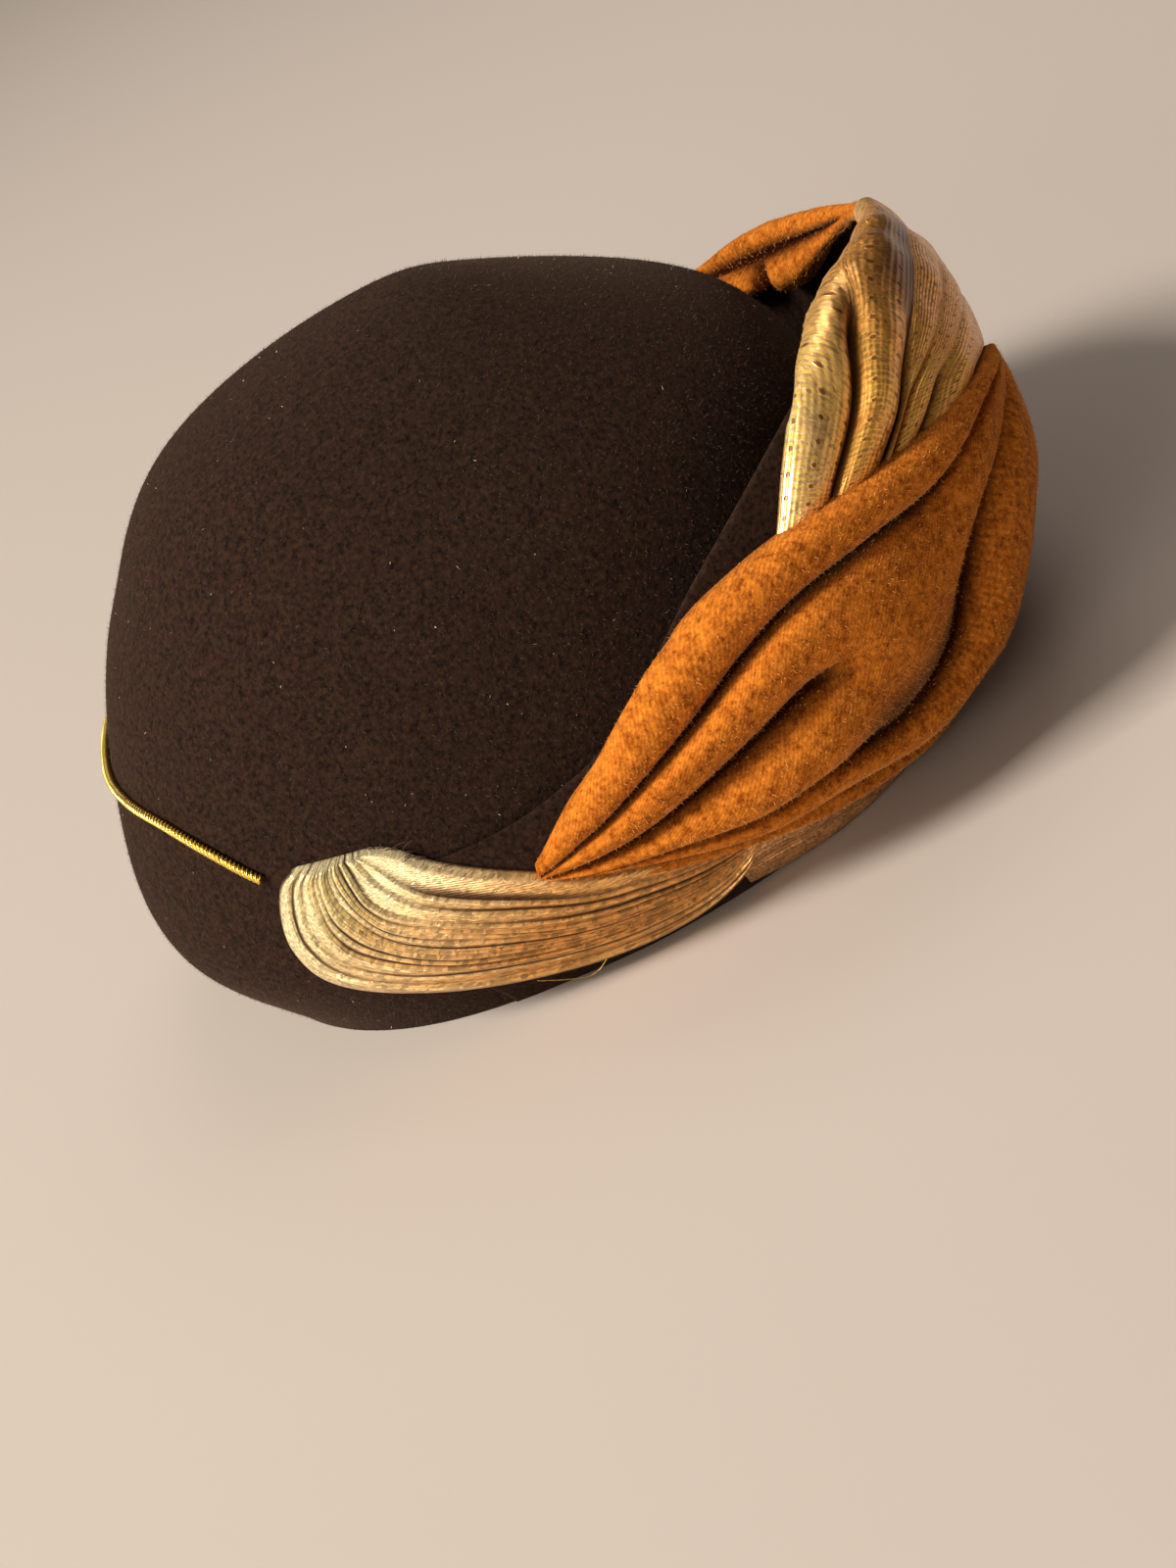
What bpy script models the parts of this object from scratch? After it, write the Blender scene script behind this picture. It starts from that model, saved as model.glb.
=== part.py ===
"""Felt halo hat: a domed crown whose front brim turns up into a tall halo.

A twist of velvet and gold lame covers the halo, a pleated lame drape lies along each side,
and a gold cord runs round the back. Metres, +Z up, the face looks towards -Y. An angle is
counted round the hat from the middle of the front, positive to the wearer's right (-X).
"""
import math

import bmesh
import bpy
import numpy as np
from mathutils import Matrix

MM = 0.001

# Felt crown
head_length = 196 * MM
head_width = 167 * MM
crown_height = 143 * MM
felt_thickness = 2.2 * MM
oval_power = 2.25

# Sections of the crown from the rim to the top. Height is a share of crown_height, back and
# front are shares of half the head length, and side is a share of half the head width.
CROWN_SECTIONS = (
    # along, height, back, front, side
    (0.00, 0.00, 1.00, 1.00, 1.00),
    (0.20, 0.20, 1.16, 1.04, 1.10),
    (0.42, 0.45, 1.08, 1.04, 1.06),
    (0.64, 0.72, 0.85, 0.885, 0.865),
    (0.82, 0.92, 0.52, 0.45, 0.485),
    (1.00, 1.00, -0.155, 0.155, 0.00),
)

# Halo brim
halo_height = 100 * MM
halo_flare = 36 * MM
halo_end = 112
halo_belly = 0.7
seat_gap = 0.3 * MM

# Halo at angles from the front: shares of halo_height and halo_flare. Its peak is a little to
# the wearer's right, and its left side is lower.
HALO_STATIONS = (
    # angle, height, flare
    (-112, 0.42, 0.00),
    (-90, 0.43, 0.09),
    (-70, 0.60, 0.31),
    (-50, 0.72, 0.58),
    (-30, 0.82, 0.82),
    (-14, 0.91, 0.955),
    (0, 0.985, 1.00),
    (14, 1.008, 0.955),
    (30, 1.009, 0.82),
    (50, 0.953, 0.58),
    (70, 0.786, 0.31),
    (90, 0.524, 0.09),
    (112, 0.490, 0.00),
)

# Twist of cloth on the halo. Each cloth is at least cloth_tip high, also at its ends.
cloth_gap = 0.9 * MM
cloth_seam = 1.0 * MM
cloth_edge = 1.6 * MM
cloth_tip = 2 * MM
velvet_loft = 9.5 * MM
lame_loft = 7 * MM
full_height = 0.35
edge_turn = 0.12
twist_step = 4
velvet_end = 96
velvet_right_start = -8
velvet_left_start = 0
lame_start = -28
lame_end = 60

# Where the three cloths start and stop at each angle, as shares of the halo's height there.
# Past 1 the cloth turns over the halo's edge. Hem is the lowest edge of the cloth, and the
# right and left seams part the right velvet, the lame and the left velvet. Top is the
# highest edge.
TWIST_STATIONS = (
    # angle, hem, right seam, left seam, top
    (-96, 0.66, 0.66, 0.66, 0.80),
    (-92, 0.60, 0.60, 0.60, 0.90),
    (-86, 0.44, 0.44, 0.44, 1.03),
    (-77, 0.27, 0.27, 0.27, 1.05),
    (-62, 0.11, 0.11, 0.11, 1.05),
    (-42, 0.07, 0.07, 0.07, 1.05),
    (-32, 0.06, 0.06, 0.06, 1.05),
    (-22, 0.05, 0.05, 0.34, 1.05),
    (-12, 0.05, 0.05, 0.72, 1.05),
    (-4, 0.05, 0.36, 0.97, 1.05),
    (4, 0.05, 0.56, 1.04, 1.05),
    (14, 0.05, 0.69, 1.05, 1.05),
    (40, 0.06, 0.76, 1.05, 1.05),
    (50, 0.07, 0.815, 1.05, 1.05),
    (60, 0.11, 0.885, 0.97, 0.97),
    (68, 0.18, 0.95, 0.95, 0.95),
    (77, 0.27, 1.02, 1.02, 1.02),
    (86, 0.44, 1.03, 1.03, 1.03),
    (92, 0.60, 0.90, 0.90, 0.90),
    (96, 0.66, 0.80, 0.80, 0.80),
)

# Creases between the folds: depth is a share of the cloth's loft, width a share of the
# halo's height, and each run lists angles with the crease's rise there.
crease_width = 0.045
RIGHT_VELVET_CREASES = (
    # depth, run
    (0.75, ((95, 0.73), (80, 0.84), (60, 0.72), (40, 0.63), (14, 0.66))),
    (0.60, ((92, 0.66), (80, 0.64), (66, 0.54), (50, 0.52), (42, 0.52))),
    (0.70, ((84, 0.47), (70, 0.31), (55, 0.22), (40, 0.20), (26, 0.26))),
    (0.65, ((40, 0.36), (30, 0.44), (20, 0.56), (12, 0.66))),
)
LAME_CREASES = (
    (0.60, ((52, 0.83), (40, 0.92), (20, 1.00), (2, 1.08))),
    (0.60, ((38, 0.77), (26, 0.86), (14, 0.96), (2, 1.06))),
    (0.50, ((20, 0.71), (12, 0.84), (2, 1.02))),
    (0.60, ((2, 0.55), (0, 0.80), (-1, 1.02))),
    (0.60, ((-14, 0.06), (-12, 0.35), (-6, 0.75), (-2, 1.00))),
)
LEFT_VELVET_CREASES = (
    (0.70, ((-4, 1.08), (-24, 0.98), (-50, 0.92), (-76, 0.90), (-95, 0.73))),
    (0.65, ((-9, 0.90), (-26, 0.74), (-50, 0.62), (-74, 0.62), (-93, 0.68))),
    (0.65, ((-20, 0.42), (-38, 0.34), (-60, 0.33), (-84, 0.50))),
)

# Lame drape on each side, lying on the felt: heights of its edges at each angle.
drape_height = 59 * MM
left_share = 0.87
drape_loft = 1.8 * MM
drape_pleat = 0.7 * MM
drape_pleats = 6
drape_step = 3
DRAPE_STATIONS = (
    # angle, lower edge, upper edge
    (77, 0.21, 0.275),
    (80, 0.11, 0.33),
    (86, 0.03, 0.425),
    (92, 0.02, 0.53),
    (101, 0.07, 0.71),
    (107, 0.13, 0.83),
    (113, 0.20, 0.95),
    (119, 0.28, 1.00),
    (125, 0.37, 1.00),
    (128, 0.44, 0.97),
    (131, 0.60, 0.72),
)

# Lame binding of the rim under the twist
binding_height = 6.5 * MM
binding_loft = 1.4 * MM
BINDING_STATIONS = (
    # angle, upper edge as a share of binding_height
    (46, 0.40),
    (52, 0.80),
    (60, 1.00),
    (70, 1.00),
    (77, 0.95),
    (83, 0.30),
)
binding_floor = 0.5 * MM
binding_start = 1.8 * MM

# Gold cord round the back of the crown
cord_radius = 1.25 * MM
cord_step = 2.5
CORD_STATIONS = (
    # angle, height as a share of crown_height
    (131.5, 0.40),
    (140, 0.45),
    (150, 0.49),
    (163, 0.52),
    (180, 0.53),
)

FINISHES = {
    # name: colour, roughness, metallic
    "brown_felt": ((0.030, 0.020, 0.016), 0.95, 0.0),
    "orange_velvet": ((0.50, 0.19, 0.045), 0.85, 0.0),
    "gold_lame": ((0.68, 0.48, 0.22), 0.40, 0.6),
    "gold_cord": ((0.80, 0.58, 0.20), 0.30, 0.9),
}


def unit(v):
    return v / np.linalg.norm(v)


def through(rows, at, column, end_slope=None):
    """A smooth curve through one column of a table, read at a place in its first column."""
    x = [row[0] for row in rows]
    y = [row[column] for row in rows]
    last = len(x) - 1
    steps = [(y[i + 1] - y[i]) / (x[i + 1] - x[i]) for i in range(last)]

    def slope(i):
        if i == 0:
            return steps[0]
        if i == last:
            return steps[-1] if end_slope is None else end_slope
        before, after = x[i] - x[i - 1], x[i + 1] - x[i]
        return (steps[i - 1] * after + steps[i] * before) / (before + after)

    if at <= x[0]:
        return y[0] + steps[0] * (at - x[0])
    if at >= x[last]:
        return y[last] + slope(last) * (at - x[last])
    i = max(k for k in range(last) if x[k] <= at)
    span = x[i + 1] - x[i]
    t = (at - x[i]) / span
    a, b = slope(i) * span, slope(i + 1) * span
    return (y[i] * (1 + 2 * t) * (1 - t) ** 2 + a * t * (1 - t) ** 2
            + y[i + 1] * t * t * (3 - 2 * t) - b * t * t * (1 - t))


def straight(rows, at, column):
    """A table's column read along straight lines, held at its ends."""
    return float(np.interp(at, [row[0] for row in rows], [row[column] for row in rows]))


def crown_section(along):
    """Height, back, front and side of the crown's oval at a place along its profile."""
    z = crown_height * through(CROWN_SECTIONS, along, 1, end_slope=0)
    back = head_length / 2 * through(CROWN_SECTIONS, along, 2)
    front = head_length / 2 * through(CROWN_SECTIONS, along, 3)
    side = head_width / 2 * max(through(CROWN_SECTIONS, along, 4), 0)
    return z, back, front, side


def section_at(z):
    """The crown's oval at a height."""
    low, high = -0.2, 0.99
    for _ in range(30):
        middle = (low + high) / 2
        if crown_section(middle)[0] < z:
            low = middle
        else:
            high = middle
    return crown_section(low)


def signed_power(value, power):
    return math.copysign(abs(value) ** power, value)


def on_oval(angle, section):
    """Point of an oval at an angle."""
    z, back, front, side = section
    a = math.radians(angle)
    x = -side * signed_power(math.sin(a), 2 / oval_power)
    y = (back - front) / 2 - (back + front) / 2 * signed_power(math.cos(a), 2 / oval_power)
    return np.array((x, y, z))


def off_oval(angle, section):
    """Level direction straight out of an oval at an angle."""
    z, back, front, side = section
    a = math.radians(angle)
    power = 2 - 2 / oval_power
    x = -signed_power(math.sin(a), power) / side
    y = -signed_power(math.cos(a), power) / ((back + front) / 2)
    return unit(np.array((x, y, 0)))


def halo_top(angle):
    """Height of the halo's edge."""
    return halo_height * through(HALO_STATIONS, angle, 1)


def held(angle):
    """An angle kept within the halo's ends."""
    return min(max(angle, -halo_end), halo_end)


def halo_stand(angle, rise):
    """How far the halo stands off the crown at a share of its height."""
    flare = halo_flare * max(through(HALO_STATIONS, held(angle), 2), 0)
    return seat_gap + flare * math.sin(math.pi / 2 * min(max(rise, 0), 1)) ** halo_belly


def halo_back(angle, rise):
    """Point on the side of the halo that faces the crown."""
    z = rise * halo_top(angle)
    section = section_at(z)
    return on_oval(angle, section) + off_oval(angle, section) * halo_stand(angle, rise)


def halo_axes(angle, rise):
    """Directions out of the halo's face and up along it."""
    nudge = 0.01
    rise = min(max(rise, 2 * nudge), 1 - nudge)
    up = unit(halo_back(angle, rise + nudge) - halo_back(angle, rise - nudge))
    along = halo_back(angle + 1, rise) - halo_back(angle - 1, rise)
    return unit(np.cross(up, along)), up


def halo_skin(angle, rise, lift):
    """Point a lift off the halo's face. Past a rise of 1 it turns over the halo's edge."""
    out, up = halo_axes(angle, rise)
    if rise <= 1:
        return halo_back(angle, rise) + out * (felt_thickness + lift)
    turn = math.pi * (rise - 1) / edge_turn
    middle = halo_back(angle, 1) + out * felt_thickness / 2
    return middle + (out * math.cos(turn) + up * math.sin(turn)) * (felt_thickness / 2 + lift)


def side_skin(angle, z, lift):
    """Point a lift off the felt at a height, over the halo's end and the crown behind it."""
    ramp = 8
    on_halo = min(max((halo_end + ramp - abs(angle)) / ramp, 0), 1)
    end = held(angle)
    stand = halo_stand(end, z / halo_top(end)) + felt_thickness
    section = section_at(z)
    return on_oval(angle, section) + off_oval(angle, section) * (stand * on_halo + lift)


def side_share(angle):
    """The drape and binding on the left are lower, as the halo is."""
    return left_share if angle < 0 else 1


def drape_edge(angle, column):
    """Height of the drape's lower or upper edge."""
    return drape_height * side_share(angle) * straight(DRAPE_STATIONS, abs(angle), column)


def binding_edge(angle):
    """Height of the binding's upper edge."""
    return binding_height * side_share(angle) * straight(BINDING_STATIONS, abs(angle), 1)


def cloth_hem(angle):
    """Rise of the twist's lowest edge, which stays clear of the drape and the binding."""
    rise = straight(TWIST_STATIONS, angle, 1)
    for stations, edge in ((DRAPE_STATIONS, drape_edge(angle, 2)),
                           (BINDING_STATIONS, binding_edge(angle))):
        if stations[0][0] - twist_step <= abs(angle) <= stations[-1][0]:
            rise = max(rise, (edge + 2 * cloth_seam) / halo_top(angle))
    return rise


def crease_depth(angle, rise, creases):
    """How deep the creases cut at a point of the twist, as a share of the loft."""
    deepest = 0
    for depth, run in creases:
        angles = [place[0] for place in run]
        if not min(angles) <= angle <= max(angles):
            continue
        line = sorted(run)
        away = abs(rise - straight(line, angle, 1)) / crease_width
        deepest = max(deepest, depth * math.exp(-away * away))
    return deepest


def twist_lift(angle, rise, low, high, loft, creases):
    """Outer height of the cloth: thin at its edges, full between, and cut by creases.

    A cloth narrower than full_height, a share of the halo's height, is less full.
    """
    t = (rise - low) / (high - low)
    full = (1 - abs(2 * t - 1) ** 3) * min((high - low) / full_height, 1)
    height = cloth_edge + loft * full * (1 - crease_depth(angle, rise, creases))
    return cloth_gap + height


def finish(name):
    """A material from the table of finishes."""
    material = bpy.data.materials.get(name)
    if material:
        return material
    colour, roughness, metallic = FINISHES[name]
    material = bpy.data.materials.new(name)
    material.use_nodes = True
    shader = material.node_tree.nodes["Principled BSDF"]
    shader.inputs["Base Color"].default_value = (*colour, 1)
    shader.inputs["Roughness"].default_value = roughness
    shader.inputs["Metallic"].default_value = metallic
    material.diffuse_color = (*colour, 1)
    return material


def add_object(name, mesh, material, collection):
    obj = bpy.data.objects.new(name, mesh)
    mesh.materials.append(finish(material))
    collection.objects.link(obj)
    return obj


def grid_mesh(name, rows, closed):
    """A surface through rows of points, joined round where closed."""
    shape = bmesh.new()
    lines = [[shape.verts.new(point) for point in row] for row in rows]
    for low, high in zip(lines, lines[1:]):
        count = len(low)
        for i in range(count if closed else count - 1):
            k = (i + 1) % count
            shape.faces.new((low[i], low[k], high[k], high[i]))
    mesh = bpy.data.meshes.new(name)
    shape.to_mesh(mesh)
    shape.free()
    return mesh


def loft_mesh(name, loops):
    """A closed body through loops of points, with a fan at each end."""
    shape = bmesh.new()
    lines = [[shape.verts.new(point) for point in loop] for loop in loops]
    count = len(loops[0])
    for low, high in zip(lines, lines[1:]):
        for i in range(count):
            k = (i + 1) % count
            shape.faces.new((low[i], low[k], high[k], high[i]))
    half = count // 2
    for line, turned in ((lines[0], True), (lines[-1], False)):
        for i in range(half):
            low, high = line[i], line[count - 1 - i]
            if i + 1 == half:
                continue
            face = (low, line[i + 1], line[count - 2 - i], high)
            shape.faces.new(face[::-1] if turned else face)
    bmesh.ops.triangulate(shape, faces=shape.faces)
    bmesh.ops.recalc_face_normals(shape, faces=shape.faces)
    mesh = bpy.data.meshes.new(name)
    shape.to_mesh(mesh)
    shape.free()
    for polygon in mesh.polygons:
        polygon.use_smooth = True
    return mesh


def add_wall(obj, thickness, offset):
    wall = obj.modifiers.new("Felt", "SOLIDIFY")
    wall.thickness = thickness
    wall.offset = offset
    wall.use_even_offset = True


def cut_flat(obj, cutter):
    cut = obj.modifiers.new("Rim", "BOOLEAN")
    cut.operation = "DIFFERENCE"
    cut.solver = "EXACT"
    cut.object = cutter


def make_cutter(collection):
    """A block under the rim plane, which trims the felt to a flat rim."""
    bpy.ops.mesh.primitive_cube_add(size=1)
    block = bpy.context.object
    block.name = "rim_cutter"
    wide, depth = 4 * head_length, 0.2 * crown_height
    block.data.transform(Matrix.Translation((0, 0, -depth / 2))
                         @ Matrix.Diagonal((wide, wide, depth, 1)))
    block.hide_render = True
    block.display_type = "WIRE"
    for holder in block.users_collection:
        holder.objects.unlink(block)
    collection.objects.link(block)
    return block


def make_crown(collection, cutter):
    """The domed crown, an open shell whose wall goes inwards."""
    around, rows = 52, 12
    overrun = 0.03
    angles = [360 * i / around for i in range(around)]
    places = [-overrun + (1 + overrun) * i / rows for i in range(rows)]
    lines = [[on_oval(a, crown_section(p)) for a in angles] for p in places]
    mesh = grid_mesh("crown", lines, closed=True)
    shape = bmesh.new()
    shape.from_mesh(mesh)
    rim = [edge for edge in shape.edges if edge.is_boundary]
    top = [edge for edge in rim if edge.verts[0].co.z > crown_height / 2]
    apex = shape.verts.new(on_oval(0, crown_section(1)))
    for edge in top:
        shape.faces.new((edge.verts[0], edge.verts[1], apex))
    bmesh.ops.recalc_face_normals(shape, faces=shape.faces)
    shape.to_mesh(mesh)
    shape.free()
    crown = add_object("crown", mesh, "brown_felt", collection)
    add_wall(crown, felt_thickness, -1)
    cut_flat(crown, cutter)


def make_halo(collection, cutter):
    """The turned-up front brim, a felt strip that flares away from the crown."""
    columns, rows = 44, 9
    overrun, crowding = 0.05, 1.3
    angles = [halo_end * (2 * i / columns - 1) for i in range(columns + 1)]
    rises = [-overrun] + [(i / rows) ** crowding for i in range(rows + 1)]
    lines = [[halo_back(a, r) for a in angles] for r in rises]
    halo = add_object("halo_brim", grid_mesh("halo_brim", lines, closed=False),
                      "brown_felt", collection)
    add_wall(halo, felt_thickness, -1)
    cut_flat(halo, cutter)


def make_twist(name, collection, first, last, low_column, high_column, loft, creases, finish_name):
    """One cloth of the twist, lofted through upright sections from angle to angle."""
    across = 12
    loops = []
    seam = cloth_seam / halo_height / 2
    for angle in range(first, last + 1, twist_step):
        low = max(straight(TWIST_STATIONS, angle, low_column), cloth_hem(angle)) + seam
        high = straight(TWIST_STATIONS, angle, high_column) - seam
        high = max(high, low + cloth_tip / halo_top(angle))
        rises = [low + (high - low) * i / across for i in range(across + 1)]
        outer = [halo_skin(angle, r, twist_lift(angle, r, low, high, loft, creases))
                 for r in rises]
        inner = [halo_skin(angle, r, cloth_gap) for r in rises]
        loops.append(outer + inner[::-1])
    add_object(name, loft_mesh(name, loops), finish_name, collection)


def make_drape(name, collection, side):
    """A pleated sheet of lame on one side, fanned out towards the back."""
    across = 14
    loops = []
    first, last = DRAPE_STATIONS[0][0], DRAPE_STATIONS[-1][0]
    count = round((last - first) / drape_step)
    for i in range(count + 1):
        angle = first + (last - first) * i / count
        low, high = drape_edge(side * angle, 1), drape_edge(side * angle, 2)
        outer, inner = [], []
        for k in range(across + 1):
            t = k / across
            z = low + (high - low) * t
            pleat = drape_pleat * abs(math.sin(math.pi * drape_pleats * t))
            outer.append(side_skin(side * angle, z, cloth_gap + drape_loft - drape_pleat + pleat))
            inner.append(side_skin(side * angle, z, cloth_gap))
        loops.append(outer + inner[::-1])
    add_object(name, loft_mesh(name, loops), "gold_lame", collection)


def clear_of_floor(point):
    """A point kept at least as high as the binding's lowest edge."""
    return np.array((point[0], point[1], max(point[2], binding_floor)))


def make_binding(name, collection, side):
    """The lame that wraps the rim under the twist."""
    across, count = 4, 12
    loops = []
    first, last = BINDING_STATIONS[0][0], BINDING_STATIONS[-1][0]
    for i in range(count + 1):
        angle = first + (last - first) * i / count
        high = binding_edge(side * angle)
        heights = [binding_start + (high - binding_start) * k / across for k in range(across + 1)]
        top = halo_top(side * angle)
        outer = [clear_of_floor(halo_skin(side * angle, z / top, cloth_gap + binding_loft))
                 for z in heights]
        inner = [clear_of_floor(halo_skin(side * angle, z / top, cloth_gap)) for z in heights]
        loops.append(outer + inner[::-1])
    add_object(name, loft_mesh(name, loops), "gold_lame", collection)


def make_cord(collection):
    """The gold cord that lies round the back of the crown from drape to drape."""
    first = CORD_STATIONS[0][0]
    count = round(2 * (180 - first) / cord_step)
    points = []
    for i in range(count + 1):
        angle = first + 2 * (180 - first) * i / count
        side = min(angle, 360 - angle)
        z = crown_height * through(CORD_STATIONS, side, 1, end_slope=0)
        section = section_at(z)
        points.append(on_oval(angle, section)
                      + off_oval(angle, section) * (cord_radius + seat_gap))
    curve = bpy.data.curves.new("gold_cord", "CURVE")
    curve.dimensions = "3D"
    curve.bevel_depth = cord_radius
    curve.bevel_resolution = 2
    curve.use_fill_caps = True
    line = curve.splines.new("POLY")
    line.points.add(len(points) - 1)
    for place, point in zip(line.points, points):
        place.co = (*point, 1)
    cord = bpy.data.objects.new("gold_cord", curve)
    curve.materials.append(finish("gold_cord"))
    collection.objects.link(cord)


def centre_on_base(collection):
    """Move the hat so that the middle of its base is the origin."""
    bpy.context.view_layer.update()
    graph = bpy.context.evaluated_depsgraph_get()
    corners = []
    for obj in collection.objects:
        mesh = obj.evaluated_get(graph).to_mesh()
        corners += [obj.matrix_world @ vert.co for vert in mesh.vertices]
        obj.evaluated_get(graph).to_mesh_clear()
    low = [min(c[k] for c in corners) for k in range(3)]
    high = [max(c[k] for c in corners) for k in range(3)]
    base = bpy.data.objects.new("hat_base", None)
    collection.objects.link(base)
    base.location = (-(low[0] + high[0]) / 2, -(low[1] + high[1]) / 2, -low[2])
    for obj in collection.objects:
        if obj is not base:
            obj.parent = base
    for cutter in bpy.data.collections["cutters"].objects:
        cutter.parent = base


def main():
    for obj in list(bpy.data.objects):
        bpy.data.objects.remove(obj, do_unlink=True)
    hat = bpy.data.collections.new("halo_hat")
    cutters = bpy.data.collections.new("cutters")
    bpy.context.scene.collection.children.link(hat)
    bpy.context.scene.collection.children.link(cutters)
    cutter = make_cutter(cutters)
    make_crown(hat, cutter)
    make_halo(hat, cutter)
    make_twist("velvet_right", hat, velvet_right_start, velvet_end, 1, 2, velvet_loft,
               RIGHT_VELVET_CREASES, "orange_velvet")
    make_twist("lame_twist", hat, lame_start, lame_end, 2, 3, lame_loft, LAME_CREASES,
               "gold_lame")
    make_twist("velvet_left", hat, -velvet_end, velvet_left_start, 3, 4, velvet_loft,
               LEFT_VELVET_CREASES, "orange_velvet")
    for word, side in (("right", 1), ("left", -1)):
        make_drape("drape_" + word, hat, side)
        make_binding("binding_" + word, hat, side)
    make_cord(hat)
    centre_on_base(hat)


main()
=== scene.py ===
"""Looks of a felt halo hat: fur felt, folded velvet, gold lame, pleated drapes and a gold cord.

It is put together in the order of the real hat. Metres, +Z up, the face looks towards -Y. An
angle is counted round the hat from the middle of the front, positive to the wearer's right.
"""
import functools
import math

import bpy
import numpy as np
from mathutils import Matrix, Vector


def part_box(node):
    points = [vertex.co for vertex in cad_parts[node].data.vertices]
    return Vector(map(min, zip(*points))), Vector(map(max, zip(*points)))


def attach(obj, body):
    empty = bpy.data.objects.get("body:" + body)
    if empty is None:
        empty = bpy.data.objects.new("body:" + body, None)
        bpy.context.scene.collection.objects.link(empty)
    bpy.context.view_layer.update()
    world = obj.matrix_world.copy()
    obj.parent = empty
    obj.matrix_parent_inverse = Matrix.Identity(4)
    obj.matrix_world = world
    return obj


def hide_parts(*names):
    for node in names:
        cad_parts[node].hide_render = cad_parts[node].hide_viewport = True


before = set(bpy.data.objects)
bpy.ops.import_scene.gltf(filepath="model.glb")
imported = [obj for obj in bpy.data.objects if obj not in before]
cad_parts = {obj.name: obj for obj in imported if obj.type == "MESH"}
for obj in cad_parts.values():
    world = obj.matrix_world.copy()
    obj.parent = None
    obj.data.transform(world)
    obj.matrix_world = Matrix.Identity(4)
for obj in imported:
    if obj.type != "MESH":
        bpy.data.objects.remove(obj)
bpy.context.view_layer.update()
MM = 0.001


# Crown. A dome of dark brown fur felt, blocked in one piece over a wooden form, with a flat
# cut rim. Its sizes come from the frame, and its sections are the ones that the felt was
# blocked to.
felt_thickness = 2.2 * MM
oval_power = 2.25
CROWN_SECTIONS = (
    # along, height, back, front, side
    (0.00, 0.00, 1.00, 1.00, 1.00),
    (0.20, 0.20, 1.16, 1.04, 1.10),
    (0.42, 0.45, 1.08, 1.04, 1.06),
    (0.64, 0.72, 0.85, 0.885, 0.865),
    (0.82, 0.92, 0.52, 0.45, 0.485),
    (1.00, 1.00, -0.155, 0.155, 0.00),
)


def curve(rows, at, column, end_slope=None):
    """A smooth curve through one column of a table, read at places in its first column."""
    x = np.array([row[0] for row in rows], float)
    y = np.array([row[column] for row in rows], float)
    step = np.diff(y) / np.diff(x)
    before, after = np.diff(x)[:-1], np.diff(x)[1:]
    last = step[-1] if end_slope is None else end_slope
    inner = (step[:-1] * after + step[1:] * before) / (before + after)
    slope = np.concatenate([[step[0]], inner, [last]])
    at = np.asarray(at, float)
    i = np.clip(np.searchsorted(x, at, side="right") - 1, 0, len(x) - 2)
    span = x[i + 1] - x[i]
    t = (at - x[i]) / span
    u = np.clip(t, 0, 1)
    a, b = slope[i] * span, slope[i + 1] * span
    value = (y[i] * (1 + 2 * u) * (1 - u) ** 2 + a * u * (1 - u) ** 2
             + y[i + 1] * u * u * (3 - 2 * u) - b * u * u * (1 - u))
    return value + a * np.minimum(t, 0) + b * np.maximum(t - 1, 0)


crown_low, crown_high = (np.array(corner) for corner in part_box("crown"))
crown_places = np.linspace(0, 1, 400)
crown_height = crown_high[2] - crown_low[2]
side_reach = curve(CROWN_SECTIONS, crown_places, 4).max()
back_reach = curve(CROWN_SECTIONS, crown_places, 2).max()
front_reach = curve(CROWN_SECTIONS, crown_places, 3).max()
half_width = (crown_high[0] - crown_low[0]) / 2 / side_reach
half_length = (crown_high[1] - crown_low[1]) / (back_reach + front_reach)
hat_middle = np.array(((crown_low[0] + crown_high[0]) / 2,
                       crown_high[1] - back_reach * half_length, crown_low[2]))


def crown_section(along):
    """Height, back, front and side of the crown's oval at a place along its profile."""
    z = crown_height * curve(CROWN_SECTIONS, along, 1, end_slope=0)
    back = half_length * curve(CROWN_SECTIONS, along, 2)
    front = half_length * curve(CROWN_SECTIONS, along, 3)
    side = half_width * np.maximum(curve(CROWN_SECTIONS, along, 4), 1e-5)
    return z, back, front, side


# The profile is carried on below the rim, so that its direction can be read there too
below_rim = -0.2
section_places = np.linspace(below_rim, 1, 800)
section_heights = crown_height * curve(CROWN_SECTIONS, section_places, 1, end_slope=0)


def section_at(z):
    """The crown's oval at a height."""
    return crown_section(np.interp(z, section_heights, section_places))


def signed_power(value, power):
    """A power of a value that keeps the value's sign."""
    return np.sign(value) * np.abs(value) ** power


def on_oval(angle, section):
    """Points of an oval at an angle."""
    z, back, front, side = section
    a = np.radians(angle)
    x = -side * signed_power(np.sin(a), 2 / oval_power)
    y = (back - front) / 2 - (back + front) / 2 * signed_power(np.cos(a), 2 / oval_power)
    return np.stack(np.broadcast_arrays(x, y, z), -1) + hat_middle


def unit(v):
    """Vectors brought to a length of one."""
    return v / np.linalg.norm(v, axis=-1, keepdims=True)


def off_oval(angle, section):
    """Level direction straight out of an oval at an angle."""
    z, back, front, side = section
    a = np.radians(angle)
    power = 2 - 2 / oval_power
    x = -signed_power(np.sin(a), power) / side
    y = -signed_power(np.cos(a), power) / ((back + front) / 2)
    return unit(np.stack(np.broadcast_arrays(x, y, 0 * z), -1))


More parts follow.
